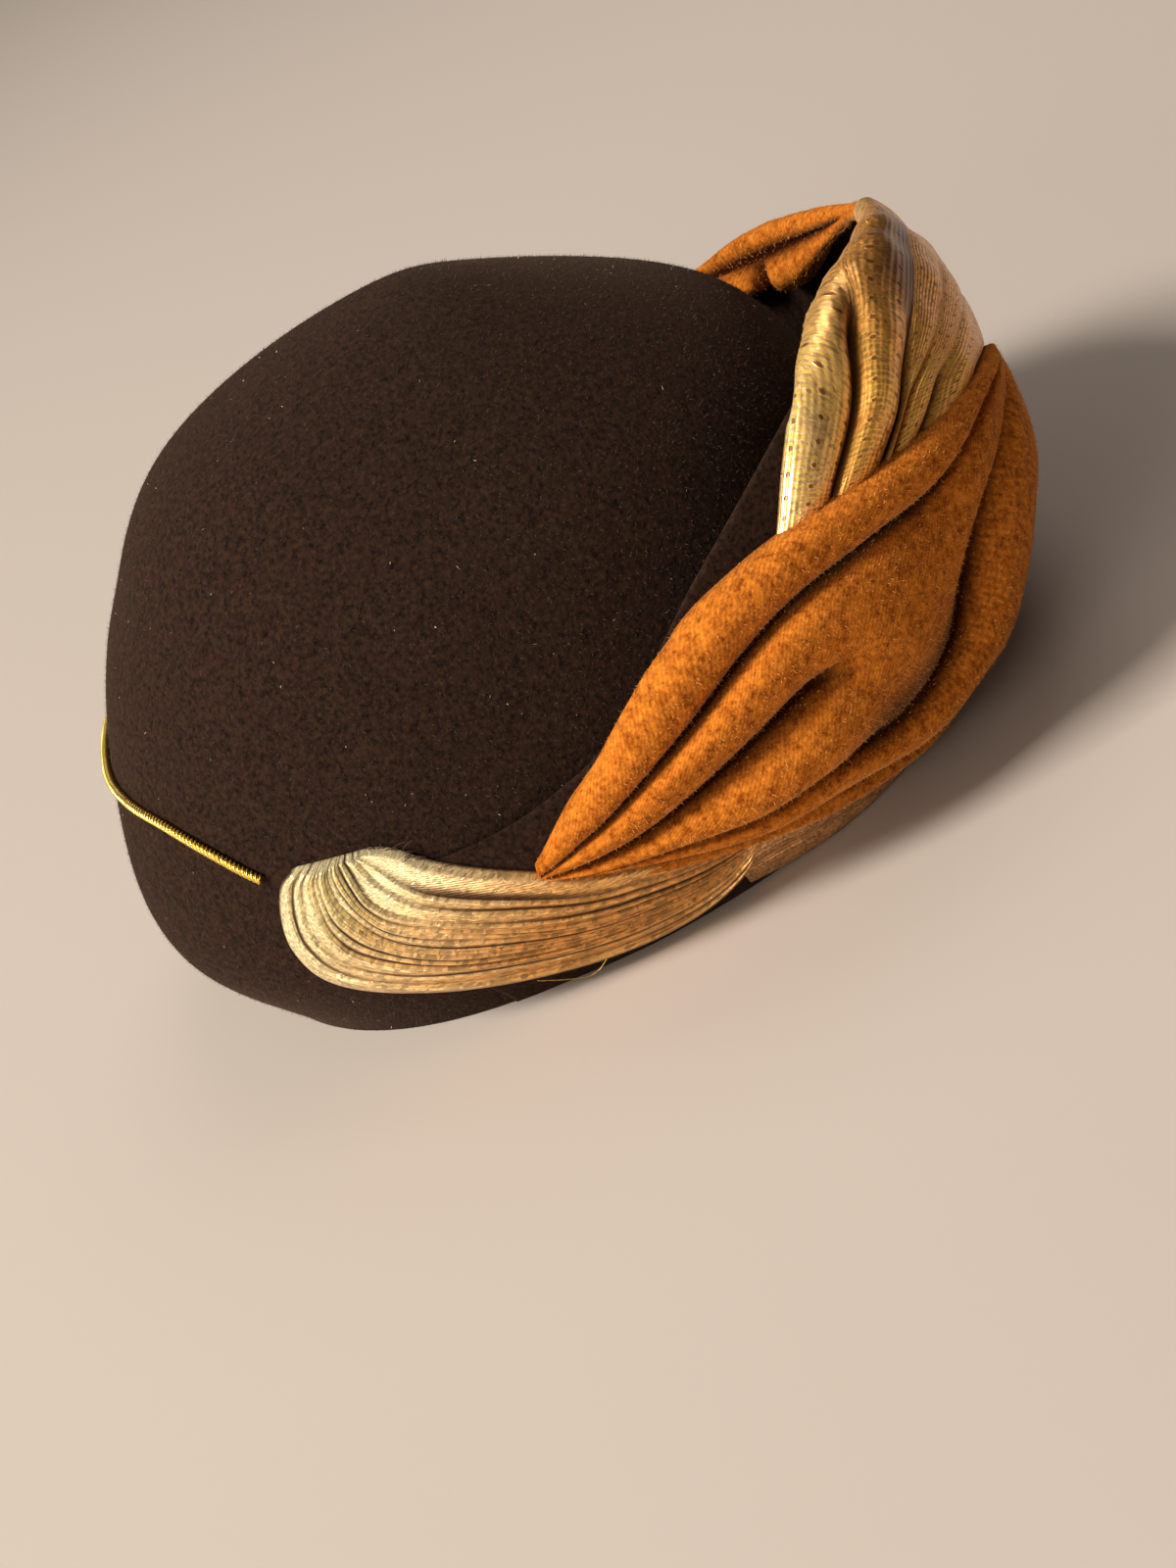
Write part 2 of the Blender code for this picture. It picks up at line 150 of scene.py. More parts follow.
def make_piece(name, points, material, flat_uv=None, fold=None, ends="paired"):
    """A closed skin through closed loops of points, an array of (loops, points, 3).

    Its ends are closed by pairing the points of a loop ("paired") or by a fan ("fan"). flat_uv
    is each point's place on the cloth before it was laid. fold is kept on the mesh for painted
    shade, 0 deep in a crease and 1 on a crest.
    """
    loops, count = points.shape[:2]
    index = np.arange(loops * count).reshape(loops, count)
    across = np.roll(index, -1, axis=1)
    low, high, low_next, high_next = index[:-1], index[1:], across[:-1], across[1:]
    quads = np.stack([low, low_next, high_next, high], -1).reshape(-1, 4).tolist()
    vertices = points.reshape(-1, 3).tolist()
    if ends == "paired":
        half = count // 2
        for row, turned in ((index[0], True), (index[-1], False)):
            a, b = row[:half], row[::-1][:half]
            caps = np.stack([a[:-1], a[1:], b[1:], b[:-1]], -1)
            quads += (caps[:, ::-1] if turned else caps).tolist()
    if ends == "fan":
        for row, turned in ((0, True), (loops - 1, False)):
            hub = len(vertices)
            vertices.append(points[row].mean(0).tolist())
            fan = np.stack([index[row], across[row], np.full(count, hub)], -1)
            quads += (fan[:, ::-1] if turned else fan).tolist()
    mesh = bpy.data.meshes.new(name)
    mesh.from_pydata(vertices, [], quads)
    if flat_uv is not None:
        corner = np.empty(len(mesh.loops), np.int32)
        mesh.loops.foreach_get("vertex_index", corner)
        uv = mesh.uv_layers.new(name="cloth")
        uv.data.foreach_set("uv", flat_uv.reshape(-1, 2)[corner].astype(np.float32).ravel())
    if fold is not None:
        values = np.append(fold.ravel(), [1.0] * (len(vertices) - fold.size))
        kept = mesh.attributes.new("fold", "FLOAT", "POINT")
        kept.data.foreach_set("value", values.astype(np.float32))
    mesh.polygons.foreach_set("use_smooth", [True] * len(mesh.polygons))
    mesh.materials.append(material)
    piece = bpy.data.objects.new(name, mesh)
    bpy.context.scene.collection.objects.link(piece)
    return piece


def node(tree, kind, inputs=(), **settings):
    """A node of a tree with its settings, and inputs given as values or as linked sockets."""
    made = tree.nodes.new(kind)
    for name, value in settings.items():
        setattr(made, name, value)
    for name, value in dict(inputs).items():
        if isinstance(value, bpy.types.NodeSocket):
            tree.links.new(value, made.inputs[name])
        else:
            made.inputs[name].default_value = value
    return made


def maths(tree, operation, a, b=0.0, c=None):
    """The result socket of one maths node."""
    inputs = {0: a, 1: b} if c is None else {0: a, 1: b, 2: c}
    return node(tree, "ShaderNodeMath", inputs, operation=operation).outputs[0]


def ranged(tree, value, low, high, top=1.0, **settings):
    """The result socket of a value's way from low to high, as 0 to top."""
    return node(tree, "ShaderNodeMapRange", {
        "Value": value, "From Min": low, "From Max": high, "To Max": top}, **settings).outputs[0]


def mixed(tree, share, low, high, **settings):
    """The colour socket of a mix from one colour to another."""
    return node(tree, "ShaderNodeMix", {"Factor": share, 6: low, 7: high},
                data_type="RGBA", **settings).outputs[2]


def new_material(name, **values):
    """A material and its Principled BSDF, with constant values on the shader's sockets."""
    material = bpy.data.materials.new(name)
    material.use_nodes = True
    shader = material.node_tree.nodes["Principled BSDF"]
    for socket, value in values.items():
        shader.inputs[socket.replace("_", " ")].default_value = value
    return material, shader


def new_group(name, sockets):
    """A shader node group with named sockets, and its input and output nodes."""
    group = bpy.data.node_groups.new(name, "ShaderNodeTree")
    for label, way, kind, value in sockets:
        socket = group.interface.new_socket(label, in_out=way, socket_type="NodeSocket" + kind)
        if value is not None:
            socket.default_value = value
    return group, group.nodes.new("NodeGroupInput"), group.nodes.new("NodeGroupOutput")


# Nap: two layers of noise that felt and velvet share, a fine one for the fibres and a broad
# one for where a hand has brushed them.
nap, nap_in, nap_out = new_group("nap", (
    ("Vector", "INPUT", "Vector", None),
    ("Fibre Scale", "INPUT", "Float", 1000.0),
    ("Brush Scale", "INPUT", "Float", 600.0),
    ("Dark", "INPUT", "Color", (0, 0, 0, 1)),
    ("Light", "INPUT", "Color", (1, 1, 1, 1)),
    ("Color", "OUTPUT", "Color", None),
    ("Height", "OUTPUT", "Float", None),
))
fibres = node(nap, "ShaderNodeTexNoise", {
    "Vector": nap_in.outputs["Vector"], "Scale": nap_in.outputs["Fibre Scale"],
    "Detail": 3.0, "Roughness": 0.65})
brush = node(nap, "ShaderNodeTexNoise", {
    "Vector": nap_in.outputs["Vector"], "Scale": nap_in.outputs["Brush Scale"],
    "Detail": 4.0, "Roughness": 0.6})
nap_share = ranged(nap, maths(nap, "ADD", fibres.outputs["Fac"], brush.outputs["Fac"]), 0.72, 1.28)
nap_tone = mixed(nap, nap_share, nap_in.outputs["Dark"], nap_in.outputs["Light"])
nap.links.new(nap_tone, nap_out.inputs["Color"])
nap.links.new(fibres.outputs["Fac"], nap_out.inputs["Height"])


def add_nap(material, shader, vector, dark, light, fibre_scale, brush_scale, depth):
    """Colour and bump of a pile from the nap group, which is returned."""
    tree = material.node_tree
    group = node(tree, "ShaderNodeGroup", node_tree=nap)
    group.inputs["Fibre Scale"].default_value = fibre_scale
    group.inputs["Brush Scale"].default_value = brush_scale
    group.inputs["Dark"].default_value = (*dark, 1)
    group.inputs["Light"].default_value = (*light, 1)
    tree.links.new(vector, group.inputs["Vector"])
    bump = node(tree, "ShaderNodeBump", {
        "Height": group.outputs["Height"], "Strength": 0.6, "Distance": depth})
    tree.links.new(group.outputs["Color"], shader.inputs["Base Color"])
    tree.links.new(bump.outputs["Normal"], shader.inputs["Normal"])
    return group


felt, felt_shader = new_material(
    "brown_felt", Roughness=0.95, Sheen_Weight=0.075, Sheen_Roughness=0.45,
    Sheen_Tint=(0.62, 0.38, 0.24, 1), Specular_IOR_Level=0.08)
felt_place = node(felt.node_tree, "ShaderNodeTexCoord")
add_nap(felt, felt_shader, felt_place.outputs["Object"],
        dark=(0.0032, 0.0014, 0.0008), light=(0.030, 0.0140, 0.0080),
        fibre_scale=1000, brush_scale=620, depth=0.4 * MM)

crown_columns, crown_rows = 260, 110
around = np.linspace(0, 360, crown_columns, endpoint=False)


def crown_wall(places, depth):
    """Loops of the crown at places along its profile, a depth under its outer face."""
    angle, along = np.meshgrid(around, places)
    nudge = 0.004
    low = np.clip(along - nudge, below_rim, 1 - 2 * nudge)
    up = unit(on_oval(angle, crown_section(low + nudge)) - on_oval(angle, crown_section(low)))
    level = off_oval(angle, crown_section(np.clip(along, below_rim, 0.98)))
    out = unit(level - up * (level * up).sum(-1, keepdims=True))
    return on_oval(angle, crown_section(along)) - out * depth


# The outer face comes down from the top to the rim, and the inner face goes up again, half as
# finely and a little less high
crown_profile = np.linspace(0, 0.995, crown_rows)
crown_loops = np.concatenate([
    crown_wall(crown_profile[::-1], 0),
    crown_wall(crown_profile[:-6:2], felt_thickness),
])
crown_loops[..., 2] = np.maximum(crown_loops[..., 2], hat_middle[2])
crown = make_piece("felt_crown", crown_loops, felt, ends="fan")
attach(crown, "root")
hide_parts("crown")


# Halo brim. The felt below the crown is turned up at the rim and steamed outwards over the
# face. Its edge is cut plain, and at both ends it thins out and runs into the crown.
seat_gap = 0.3 * MM
halo_flare = 36 * MM
halo_end = 112
halo_belly = 0.7
thin_from, thin_to = 88, 106
edge_turn = 0.12
HALO_STATIONS = (
    # angle, height, flare
    (-112, 0.42, 0.00),
    (-90, 0.43, 0.09),
    (-70, 0.60, 0.31),
    (-50, 0.72, 0.58),
    (-30, 0.82, 0.82),
    (-14, 0.91, 0.955),
    (0, 0.985, 1.00),
    (14, 1.008, 0.955),
    (30, 1.009, 0.82),
    (50, 0.953, 0.58),
    (70, 0.786, 0.31),
    (90, 0.524, 0.09),
    (112, 0.490, 0.00),
)
halo_angles = np.linspace(-halo_end, halo_end, 281)
halo_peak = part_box("halo_brim")[1][2] - hat_middle[2] - felt_thickness / 2
halo_height = halo_peak / curve(HALO_STATIONS, halo_angles, 1).max()


def smooth_step(low, high, value):
    """A share that rises softly from 0 at low to 1 at high."""
    t = np.clip((value - low) / (high - low), 0, 1)
    return t * t * (3 - 2 * t)


def halo_top(angle):
    """Height of the halo's edge. Its peak is a little to the wearer's right."""
    return halo_height * curve(HALO_STATIONS, angle, 1)


def halo_wall(angle):
    """Thickness of the brim, which thins to a tenth at its ends."""
    return felt_thickness * (1 - 0.9 * smooth_step(thin_from, thin_to, np.abs(angle)))


def halo_stand(angle, rise):
    """How far the halo stands off the crown at a share of its height."""
    flare = halo_flare * curve(HALO_STATIONS, np.clip(angle, -halo_end, halo_end), 2)
    return seat_gap + np.maximum(flare, 0) * np.sin(np.pi / 2 * np.clip(rise, 0, 1)) ** halo_belly


def halo_back(angle, rise):
    """Points on the side of the halo that faces the crown."""
    section = section_at(rise * halo_top(angle))
    stand = halo_stand(angle, rise)[..., None]
    return on_oval(angle, section) + off_oval(angle, section) * stand


def halo_skin(angle, rise, lift):
    """Points a lift off the halo's face. Past a rise of 1 they turn over the halo's edge, and
    further on they run down the side that faces the crown."""
    angle, rise, lift = np.broadcast_arrays(*(np.asarray(v, float) for v in (angle, rise, lift)))
    nudge = 0.01
    past = np.maximum(rise - 1 - edge_turn, 0)
    height = np.where(rise > 1, 1 - past, rise)
    probe = np.clip(height, 2 * nudge, 1 - nudge)
    up = unit(halo_back(angle, probe + nudge) - halo_back(angle, probe - nudge))
    beside = halo_back(angle + 1, probe) - halo_back(angle - 1, probe)
    out = unit(np.cross(up, beside))
    wall = halo_wall(angle)[..., None]
    turn = (np.pi * np.clip((rise - 1) / edge_turn, 0, 1))[..., None]
    middle = halo_back(angle, height) + out * wall / 2
    reach = wall / 2 + lift[..., None]
    return middle + (out * np.cos(turn) + up * np.sin(turn)) * reach


# Up the face, over the edge and down the side that faces the crown, finer near the rim
face_rises = np.linspace(0, 1, 60) ** 1.25
halo_rises = np.concatenate([
    face_rises,
    1 + edge_turn * np.linspace(0, 1, 9)[1:-1],
    1 + edge_turn + (1 - face_rises)[::-1],
])
halo_points = halo_skin(halo_angles[:, None], halo_rises[None, :], 0)
halo_points[..., 2] = np.maximum(halo_points[..., 2], hat_middle[2])
halo = make_piece("felt_halo", halo_points, felt)
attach(halo, "root")
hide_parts("halo_brim")


# Velvet. Silk velvet cut on the bias and gathered into soft rolls at both ends, so that the
# rolls fan out over the halo. The rolls lie between lines, and each line is a row of places
# from the rear tip to the front.
velvet_backing = 0.3 * MM
cloth_clear = 0.2 * MM
cloth_steps, roll_steps = 260, 22
RIGHT_VELVET_LINES = (
    # places as angle and rise, from the top edge to the hem
    ((96, .80), (89, 1.0), (80, 1.03), (66, .935), (50, .82), (36, .755), (23, .715), (14, .68)),
    ((96, .745), (86, .80), (75, .77), (64, .76), (52, .70), (41, .655), (28, .68), (15, .67)),
    ((95.5, .73), (86, .63), (75, .57), (65, .56), (56, .53), (46, .50), (33, .58), (15, .66)),
    ((95, .715), (87, .55), (76, .37), (66, .31), (54, .25), (43, .30), (37, .53), (18, .67)),
    ((94.5, .70), (87, .50), (76, .29), (65, .20), (51, .12), (28, .13), (13, .35), (12, .63)),
    ((94, .68), (87, .44), (76, .24), (64, .11), (46, .05), (16, .05), (-2, .25), (10, .60)),
)
# Lift of each line off the felt in millimetres, at the same places
RIGHT_VELVET_LIFTS = (
    (0.4, 0.4, 0.4, 0.4, 0.4, 0.4, 0.6, 1.0),
    (0.8, 1.0, 1.2, 1.2, 1.0, 1.0, 1.0, 2.0),
    (0.8, 1.0, 1.2, 1.5, 5.0, 8.0, 6.0, 2.0),
    (0.8, 1.0, 1.2, 1.2, 1.2, 1.5, 1.5, 2.0),
    (0.6, 1.0, 1.2, 1.2, 1.5, 2.0, 2.0, 1.5),
    (0.4, 0.4, 0.4, 0.4, 0.4, 0.4, 0.4, 0.5),
)
# Height of each roll between two lines in millimetres, and how far it leans up over the line
# above it
RIGHT_VELVET_ROLLS = (
    ((2.5, 6.5, 8.5, 9.5, 9.5, 8.5, 7.0, 3.0), 1.5),
    ((2.5, 6.5, 9.0, 10.0, 10.0, 7.0, 7.0, 3.0), 5.0),
    ((2.5, 6.0, 9.0, 10.0, 9.0, 7.0, 6.5, 3.0), 1.5),
    ((1.5, 4.0, 5.5, 6.5, 7.5, 8.5, 8.0, 3.0), 5.0),
    ((1.0, 2.0, 2.5, 3.0, 3.5, 4.0, 4.5, 2.0), 0.5),
)


def along_line(places, along):
    """Angle and rise along a line of places, evenly spaced in the share along."""
    table = [(i / (len(places) - 1), *place) for i, place in enumerate(places)]
    return curve(table, along, 1), curve(table, along, 2)


def along_values(values, along):
    """Values at the same even spacing, read at the share along."""
    table = [(i / (len(values) - 1), value) for i, value in enumerate(values)]
    return curve(table, along, 1)


crease_floor = 0.05
# Painted shade in the creases: on a hem's side it goes only half as dark, and it fades out on rolls
# lower than full_roll and is gone below low_roll
hem_light = 0.5
low_roll, full_roll = 0.4 * MM, 2.4 * MM
degrees_per_height = 60


def folded_cloth(lines, lifts, rolls, stations, samples, melts=(), pinches=()):
    """Angle, rise, lift and fold of a cloth gathered into rolls between its lines.

    melts holds (line, start, end): past that stretch of the cloth the two rolls beside the
    line are one. pinches holds (roll, place, width, depth) of a crease across a roll. Fold is
    the painted shade, 0 darkest in a crease and 1 on a crest, and a low roll gets no painted
    shade.
    """
    along = np.linspace(0, 1, stations)[:, None]
    places = [along_line(line, along) for line in lines]
    bottoms = [along_values(lift, along) * MM for lift in lifts]
    theta = np.linspace(0, np.pi, samples)[None, :]
    share = (1 - np.cos(theta)) / 2
    parts = []
    for k, (heights, lean) in enumerate(rolls):
        first, last = k == 0, k == len(rolls) - 1
        low, high = (0 if first else crease_floor), (1 if last else 1 - crease_floor)
        middle, reach = (low + high) / 2, (high - low) / 2
        round_roll = np.sqrt(np.maximum(1 - ((share - middle) / reach) ** 2, 0))
        hem_side = (first & (share < middle)) | (last & (share > middle))
        angle = places[k][0] * (1 - share) + places[k + 1][0] * share
        rise = places[k][1] * (1 - share) + places[k + 1][1] * share
        height = along_values(heights, along) * MM
        open_share = 1 + 0 * along
        for roll, at, width, depth in pinches:
            if roll == k:
                open_share = open_share * (1 - depth * np.exp(-((along - at) / width) ** 2))
        height = height * open_share
        lift = bottoms[k] * (1 - share) + bottoms[k + 1] * share + height * round_roll
        steady = height / (max(heights) * MM)
        rise = rise + lean * MM / halo_height * np.sin(theta) ** 2 * steady
        shallow = 1 - smooth_step(low_roll, full_roll, height)
        # Painted shade: fold falls to 0 in the creases, less on a hem's side and not at all on a
        # low roll
        kept = np.where(hem_side, hem_light + (1 - hem_light) * round_roll, round_roll) * open_share
        parts.append([angle, rise, lift, kept + (1 - kept) * shallow, height])
    for line, start, end in melts:
        above, below = parts[line - 1], parts[line]
        melt = smooth_step(start, end, along)
        wide = [np.hypot((places[k + 1][0] - places[k][0]) / degrees_per_height,
                         places[k + 1][1] - places[k][1]) for k in (line - 1, line)]
        total = wide[0] + wide[1] + 1e-6
        tall = np.maximum(above[4], below[4])
        for part, offset, width in ((above, 0, wide[0]), (below, wide[0], wide[1])):
            t = (offset + width * share) / total
            arch = np.sin(np.pi * np.clip(t, 0, 1) ** 0.6)
            one = (bottoms[line - 1] * (1 - t) + bottoms[line + 1] * t + tall * arch)
            part[2] = part[2] * (1 - melt) + one * melt
            part[3] = part[3] * (1 - melt) + arch * melt
    joined = []
    for k, part in enumerate(parts):
        keep = slice(None) if k == len(parts) - 1 else slice(0, -1)
        joined.append([value[:, keep] for value in part[:4]])
    return [np.concatenate([part[i] for part in joined], 1) for i in range(4)]


crumple_waves = 9
metres_per_degree = 1.8 * MM


def crumple(angle, rise, seed, size, depth):
    """A soft unevenness for hand-laid cloth, from a few crossing waves."""
    chance = np.random.default_rng(seed)
    total = 0
    for _ in range(crumple_waves):
        turn, phase = chance.uniform(0, np.pi), chance.uniform(0, 2 * np.pi)
        pitch = size * chance.uniform(0.6, 1.7)
        way = (angle * metres_per_degree * math.cos(turn)
               + rise * halo_height * math.sin(turn))
        total = total + np.sin(2 * np.pi * way / pitch + phase)
    return depth * total / math.sqrt(crumple_waves)


def cloth_piece(name, cloth, material, size, seed, crumple_size, crumple_depth):
    """A closed piece from a folded cloth, with its backing against the felt and its UVs.

    size is the cut cloth's width and length. The cloth is crumpled where it stands off the felt.
    """
    angle, rise, lift, fold = cloth
    loose = np.clip(lift / (3 * MM), 0, 1)
    lift = lift + crumple(angle, rise, seed, crumple_size, crumple_depth) * loose
    outer = halo_skin(angle, rise, lift)
    back = halo_skin(angle, rise, np.minimum(velvet_backing, lift))
    points = np.concatenate([outer, back[:, ::-1]], 1)
    points[..., 2] = np.maximum(points[..., 2], hat_middle[2] + cloth_clear)
    stations, count = angle.shape
    u = np.linspace(0, size[1], stations)[:, None] * np.ones((1, count))
    v = np.ones((stations, 1)) * np.linspace(0, size[0], count)[None, :]
    uv = np.stack([u, v], -1)
    uv = np.concatenate([uv, uv[:, ::-1]], 1)
    return make_piece(name, points, material, uv, np.concatenate([fold, fold[:, ::-1]], 1))


# Crease shade: painted shade in the creases, a colour goes down towards a deep shade colour where
# the fold attribute is low.
crease, crease_in, crease_out = new_group("crease", (
    ("Color", "INPUT", "Color", (1, 1, 1, 1)),
    ("Shade Colour", "INPUT", "Color", (0, 0, 0, 1)),
    ("Open", "INPUT", "Float", 0.5),
    ("Color", "OUTPUT", "Color", None),
))
shade_mask = node(crease, "ShaderNodeAttribute", attribute_name="fold").outputs["Fac"]
shade_share = ranged(crease, shade_mask, 0.02, crease_in.outputs["Open"],
                    interpolation_type="SMOOTHSTEP")
shaded_colour = mixed(crease, shade_share, crease_in.outputs["Shade Colour"], crease_in.outputs["Color"])
crease.links.new(shaded_colour, crease_out.inputs["Color"])


def add_painted_shade(tree, colour, deep, opened, target):
    """Sends a colour through the crease group to a socket."""
    # Painted shade: the group darkens the colour deep in the creases
    group = node(tree, "ShaderNodeGroup", node_tree=crease)
    group.inputs["Shade Colour"].default_value = (*deep, 1)
    group.inputs["Open"].default_value = opened
    tree.links.new(colour, group.inputs["Color"])
    tree.links.new(group.outputs["Color"], target)


velvet, velvet_shader = new_material(
    "orange_velvet", Roughness=0.95, Sheen_Weight=0.5, Sheen_Roughness=0.28,
    Sheen_Tint=(1.0, 0.50, 0.18, 1), Specular_IOR_Level=0.05)
velvet_tree = velvet.node_tree
velvet_place = node(velvet_tree, "ShaderNodeTexCoord")
velvet_nap = add_nap(
    velvet, velvet_shader, velvet_place.outputs["Object"],
    dark=(0.20, 0.042, 0.0022), light=(0.68, 0.21, 0.022),
    fibre_scale=850, brush_scale=330, depth=0.5 * MM)
# Fine slanting rows of pile, a little uneven
pile_row = 1.3 * MM
pile_uv = node(velvet_tree, "ShaderNodeSeparateXYZ", {
    0: node(velvet_tree, "ShaderNodeUVMap", uv_map="cloth").outputs[0]})
pile_drift = node(velvet_tree, "ShaderNodeTexNoise", {
    "Vector": velvet_place.outputs["Object"], "Scale": 130.0, "Detail": 2.0})
pile_turn = maths(velvet_tree, "MULTIPLY_ADD",
                  maths(velvet_tree, "ADD", pile_uv.outputs[0], pile_uv.outputs[1]),
                  2 * math.pi / pile_row,
                  maths(velvet_tree, "MULTIPLY", pile_drift.outputs["Fac"], 9.0))
pile_rows = maths(velvet_tree, "MULTIPLY_ADD", maths(velvet_tree, "SINE", pile_turn), 0.13, 0.93)
pile_tone = mixed(velvet_tree, 1.0, velvet_nap.outputs["Color"], pile_rows, blend_type="MULTIPLY")
# Painted shade: the creases between the rolls go down to a near-black brown
add_painted_shade(velvet_tree, pile_tone, (0.022, 0.0030, 0.0004), 0.80,
           velvet_shader.inputs["Base Color"])

right_velvet_cut = (0.11, 0.16)
velvet_right = cloth_piece(
    "velvet_right_folds",
    folded_cloth(RIGHT_VELVET_LINES, RIGHT_VELVET_LIFTS, RIGHT_VELVET_ROLLS,
                 cloth_steps, roll_steps, melts=((2, 0.42, 0.58),)),
    velvet, right_velvet_cut, seed=3, crumple_size=30 * MM, crumple_depth=0.35 * MM)
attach(velvet_right, "root")
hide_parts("velvet_right")

# The other velvet, from under the lame to its rear tip. Its top roll turns over the halo's edge.
LEFT_VELVET_LINES = (
    ((-3.5, 1.12), (-9, 1.13), (-18, 1.18), (-26, 1.27),
     (-33, 1.22), (-48, 1.13), (-74, 1.05), (-95, .78)),
    ((-4, 1.07), (-9.5, 1.09), (-17, 1.115), (-26, 1.11),
     (-34, 1.10), (-50, 1.06), (-74, .95), (-94.5, .76)),
    ((-5, 1.0), (-12, .98), (-25, .93), (-41, .86),
     (-57, .80), (-72, .76), (-84, .76), (-94, .74)),
    ((-6.5, .94), (-15, .80), (-28, .68), (-44, .60),
     (-60, .55), (-73, .55), (-85, .62), (-93.5, .73)),
    ((-7.5, .88), (-18, .58), (-31, .42), (-46, .34),
     (-60, .30), (-73, .36), (-85, .51), (-93, .72)),
    ((-8.5, .82), (-20, .38), (-30, .10), (-44, .07),
     (-58, .12), (-72, .28), (-84, .46), (-92, .70)),
)
LEFT_VELVET_LIFTS = (
    (0.4, 0.4, 0.4, 0.4, 0.4, 0.4, 0.4, 0.4),
    (0.8, 0.8, 1.0, 1.0, 1.0, 1.2, 1.2, 0.8),
    (1.5, 1.2, 1.2, 1.2, 1.2, 1.2, 1.2, 0.8),
    (1.5, 1.5, 2.5, 5.0, 6.0, 2.5, 1.2, 0.8),
    (1.5, 1.2, 1.2, 1.2, 1.2, 1.2, 1.0, 0.6),
    (0.4, 0.4, 0.4, 0.4, 0.4, 0.4, 0.4, 0.4),
)
LEFT_VELVET_ROLLS = (
    ((0.6, 0.8, 3.5, 8.0, 8.0, 2.0, 2.0, 1.2), 0.0),
    ((0.6, 0.8, 3.0, 5.5, 5.5, 2.0, 3.0, 1.2), 0.0),
    ((0.8, 3.0, 7.0, 8.5, 8.0, 6.5, 4.5, 1.2), 3.0),
    ((1.2, 4.5, 7.0, 8.5, 8.0, 5.5, 3.5, 1.0), 1.0),
    ((2.0, 4.5, 5.0, 5.0, 4.0, 3.0, 2.5, 0.8), 1.0),
)
left_velvet_cut = (0.105, 0.155)
velvet_left = cloth_piece(
    "velvet_left_folds",
    folded_cloth(LEFT_VELVET_LINES, LEFT_VELVET_LIFTS, LEFT_VELVET_ROLLS,
                 cloth_steps, roll_steps, pinches=((0, 0.53, 0.028, 0.75),)),
    velvet, left_velvet_cut, seed=8, crumple_size=30 * MM, crumple_depth=0.35 * MM)
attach(velvet_left, "root")
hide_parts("velvet_left")


# Lame centre. Gold metallic cloth with fine ribs and a pin dot comes out from under the right
# velvet, is drawn up over the halo's edge, and fans down across the front.
LAME_LINES = (
    # places from under the right velvet, over the edge and down to the front rim
    ((61, .87), (55.5, .96), (46, 1.05), (36, 1.20), (25, 1.28), (12, 1.28), (0, 1.20),
     (-9, .92), (-17, .60), (-24, .33), (-28, .08)),
    ((54, .81), (51, .85), (44.5, .90), (37, .98), (27, 1.04), (14, 1.06), (2, 1.03),
     (-6, .84), (-12, .56), (-18, .32), (-23, .08)),
    ((48, .775), (45.5, .78), (40, .82), (33, .88), (24, .93), (13, .96), (3, .93),
     (-2, .75), (-7, .50), (-12, .30), (-17, .08)),
    ((46, .755), (44, .775), (37, .83), (30, .845), (22, .86), (12, .88), (4, .84),
     (0, .68), (-4, .46), (-9, .28), (-14, .08)),
    ((42, .74), (39, .76), (32, .795), (26, .80), (18, .80), (11, .79), (4, .75),
     (1, .62), (-2, .42), (-6, .26), (-11, .08)),
    ((28, .70), (26, .71), (23, .72), (20, .71), (15, .69), (10, .66), (5, .60),
     (1, .49), (-3, .35), (-6, .21), (-8, .08)),
)
LAME_LIFTS = (
    (0.8, 1.0, 1.0, 1.0, 0.8, 0.8, 0.8, 0.8, 0.8, 0.8, 0.6),
    (1.5, 1.5, 1.2, 1.5, 3.0, 3.0, 1.2, 1.2, 1.5, 1.5, 1.0),
    (1.2, 1.2, 1.2, 1.2, 3.0, 2.2, 1.2, 1.2, 1.2, 1.2, 0.8),
    (1.5, 1.5, 1.5, 1.5, 2.2, 1.8, 1.2, 1.5, 1.5, 1.5, 0.8),
    (1.5, 1.5, 1.5, 2.0, 2.0, 1.6, 1.2, 1.5, 1.5, 1.5, 0.8),
    (1.0, 1.5, 2.0, 2.0, 2.0, 1.2, 0.8, 0.8, 0.8, 0.8, 0.6),
)
LAME_ROLLS = (
    ((2.0, 3.5, 3.2, 6.5, 9.5, 8.0, 2.0, 1.8, 3.5, 3.5, 1.5), 0.0),
    ((1.5, 3.8, 5.0, 5.0, 3.0, 1.0, 0.8, 2.5, 3.5, 3.0, 1.5), 2.0),
    ((1.2, 2.4, 2.2, 1.4, 0.4, 0.4, 0.6, 2.5, 3.0, 2.5, 1.2), 1.0),
    ((1.5, 2.2, 1.8, 0.8, 0.4, 0.4, 0.6, 2.5, 3.0, 2.5, 1.2), 0.5),
    ((1.5, 2.0, 1.8, 0.8, 0.4, 0.4, 0.6, 3.0, 3.5, 3.0, 1.5), 0.0),
)

# Pin dots and ribs: masks for staggered rows of dots, and waves for the ribs and the threads
# across them.
pin_dots, dots_in, dots_out = new_group("pin dots and ribs", (
    ("Vector", "INPUT", "Vector", None),
    ("Dot Pitch", "INPUT", "Float", 4.6 * MM),
    ("Rib Pitch", "INPUT", "Float", 1.1 * MM),
    ("Dot", "OUTPUT", "Float", None),
    ("Rib", "OUTPUT", "Float", None),
    ("Thread", "OUTPUT", "Float", None),
))
dot_maths = functools.partial(maths, pin_dots)
cloth_place = node(pin_dots, "ShaderNodeSeparateXYZ", {0: dots_in.outputs["Vector"]})
dot_u, dot_v = (dot_maths("DIVIDE", cloth_place.outputs[i], dots_in.outputs["Dot Pitch"])
                for i in (0, 1))
dot_shift = dot_maths("MULTIPLY", dot_maths("PINGPONG", dot_maths("FLOOR", dot_v), 1.0), 0.5)
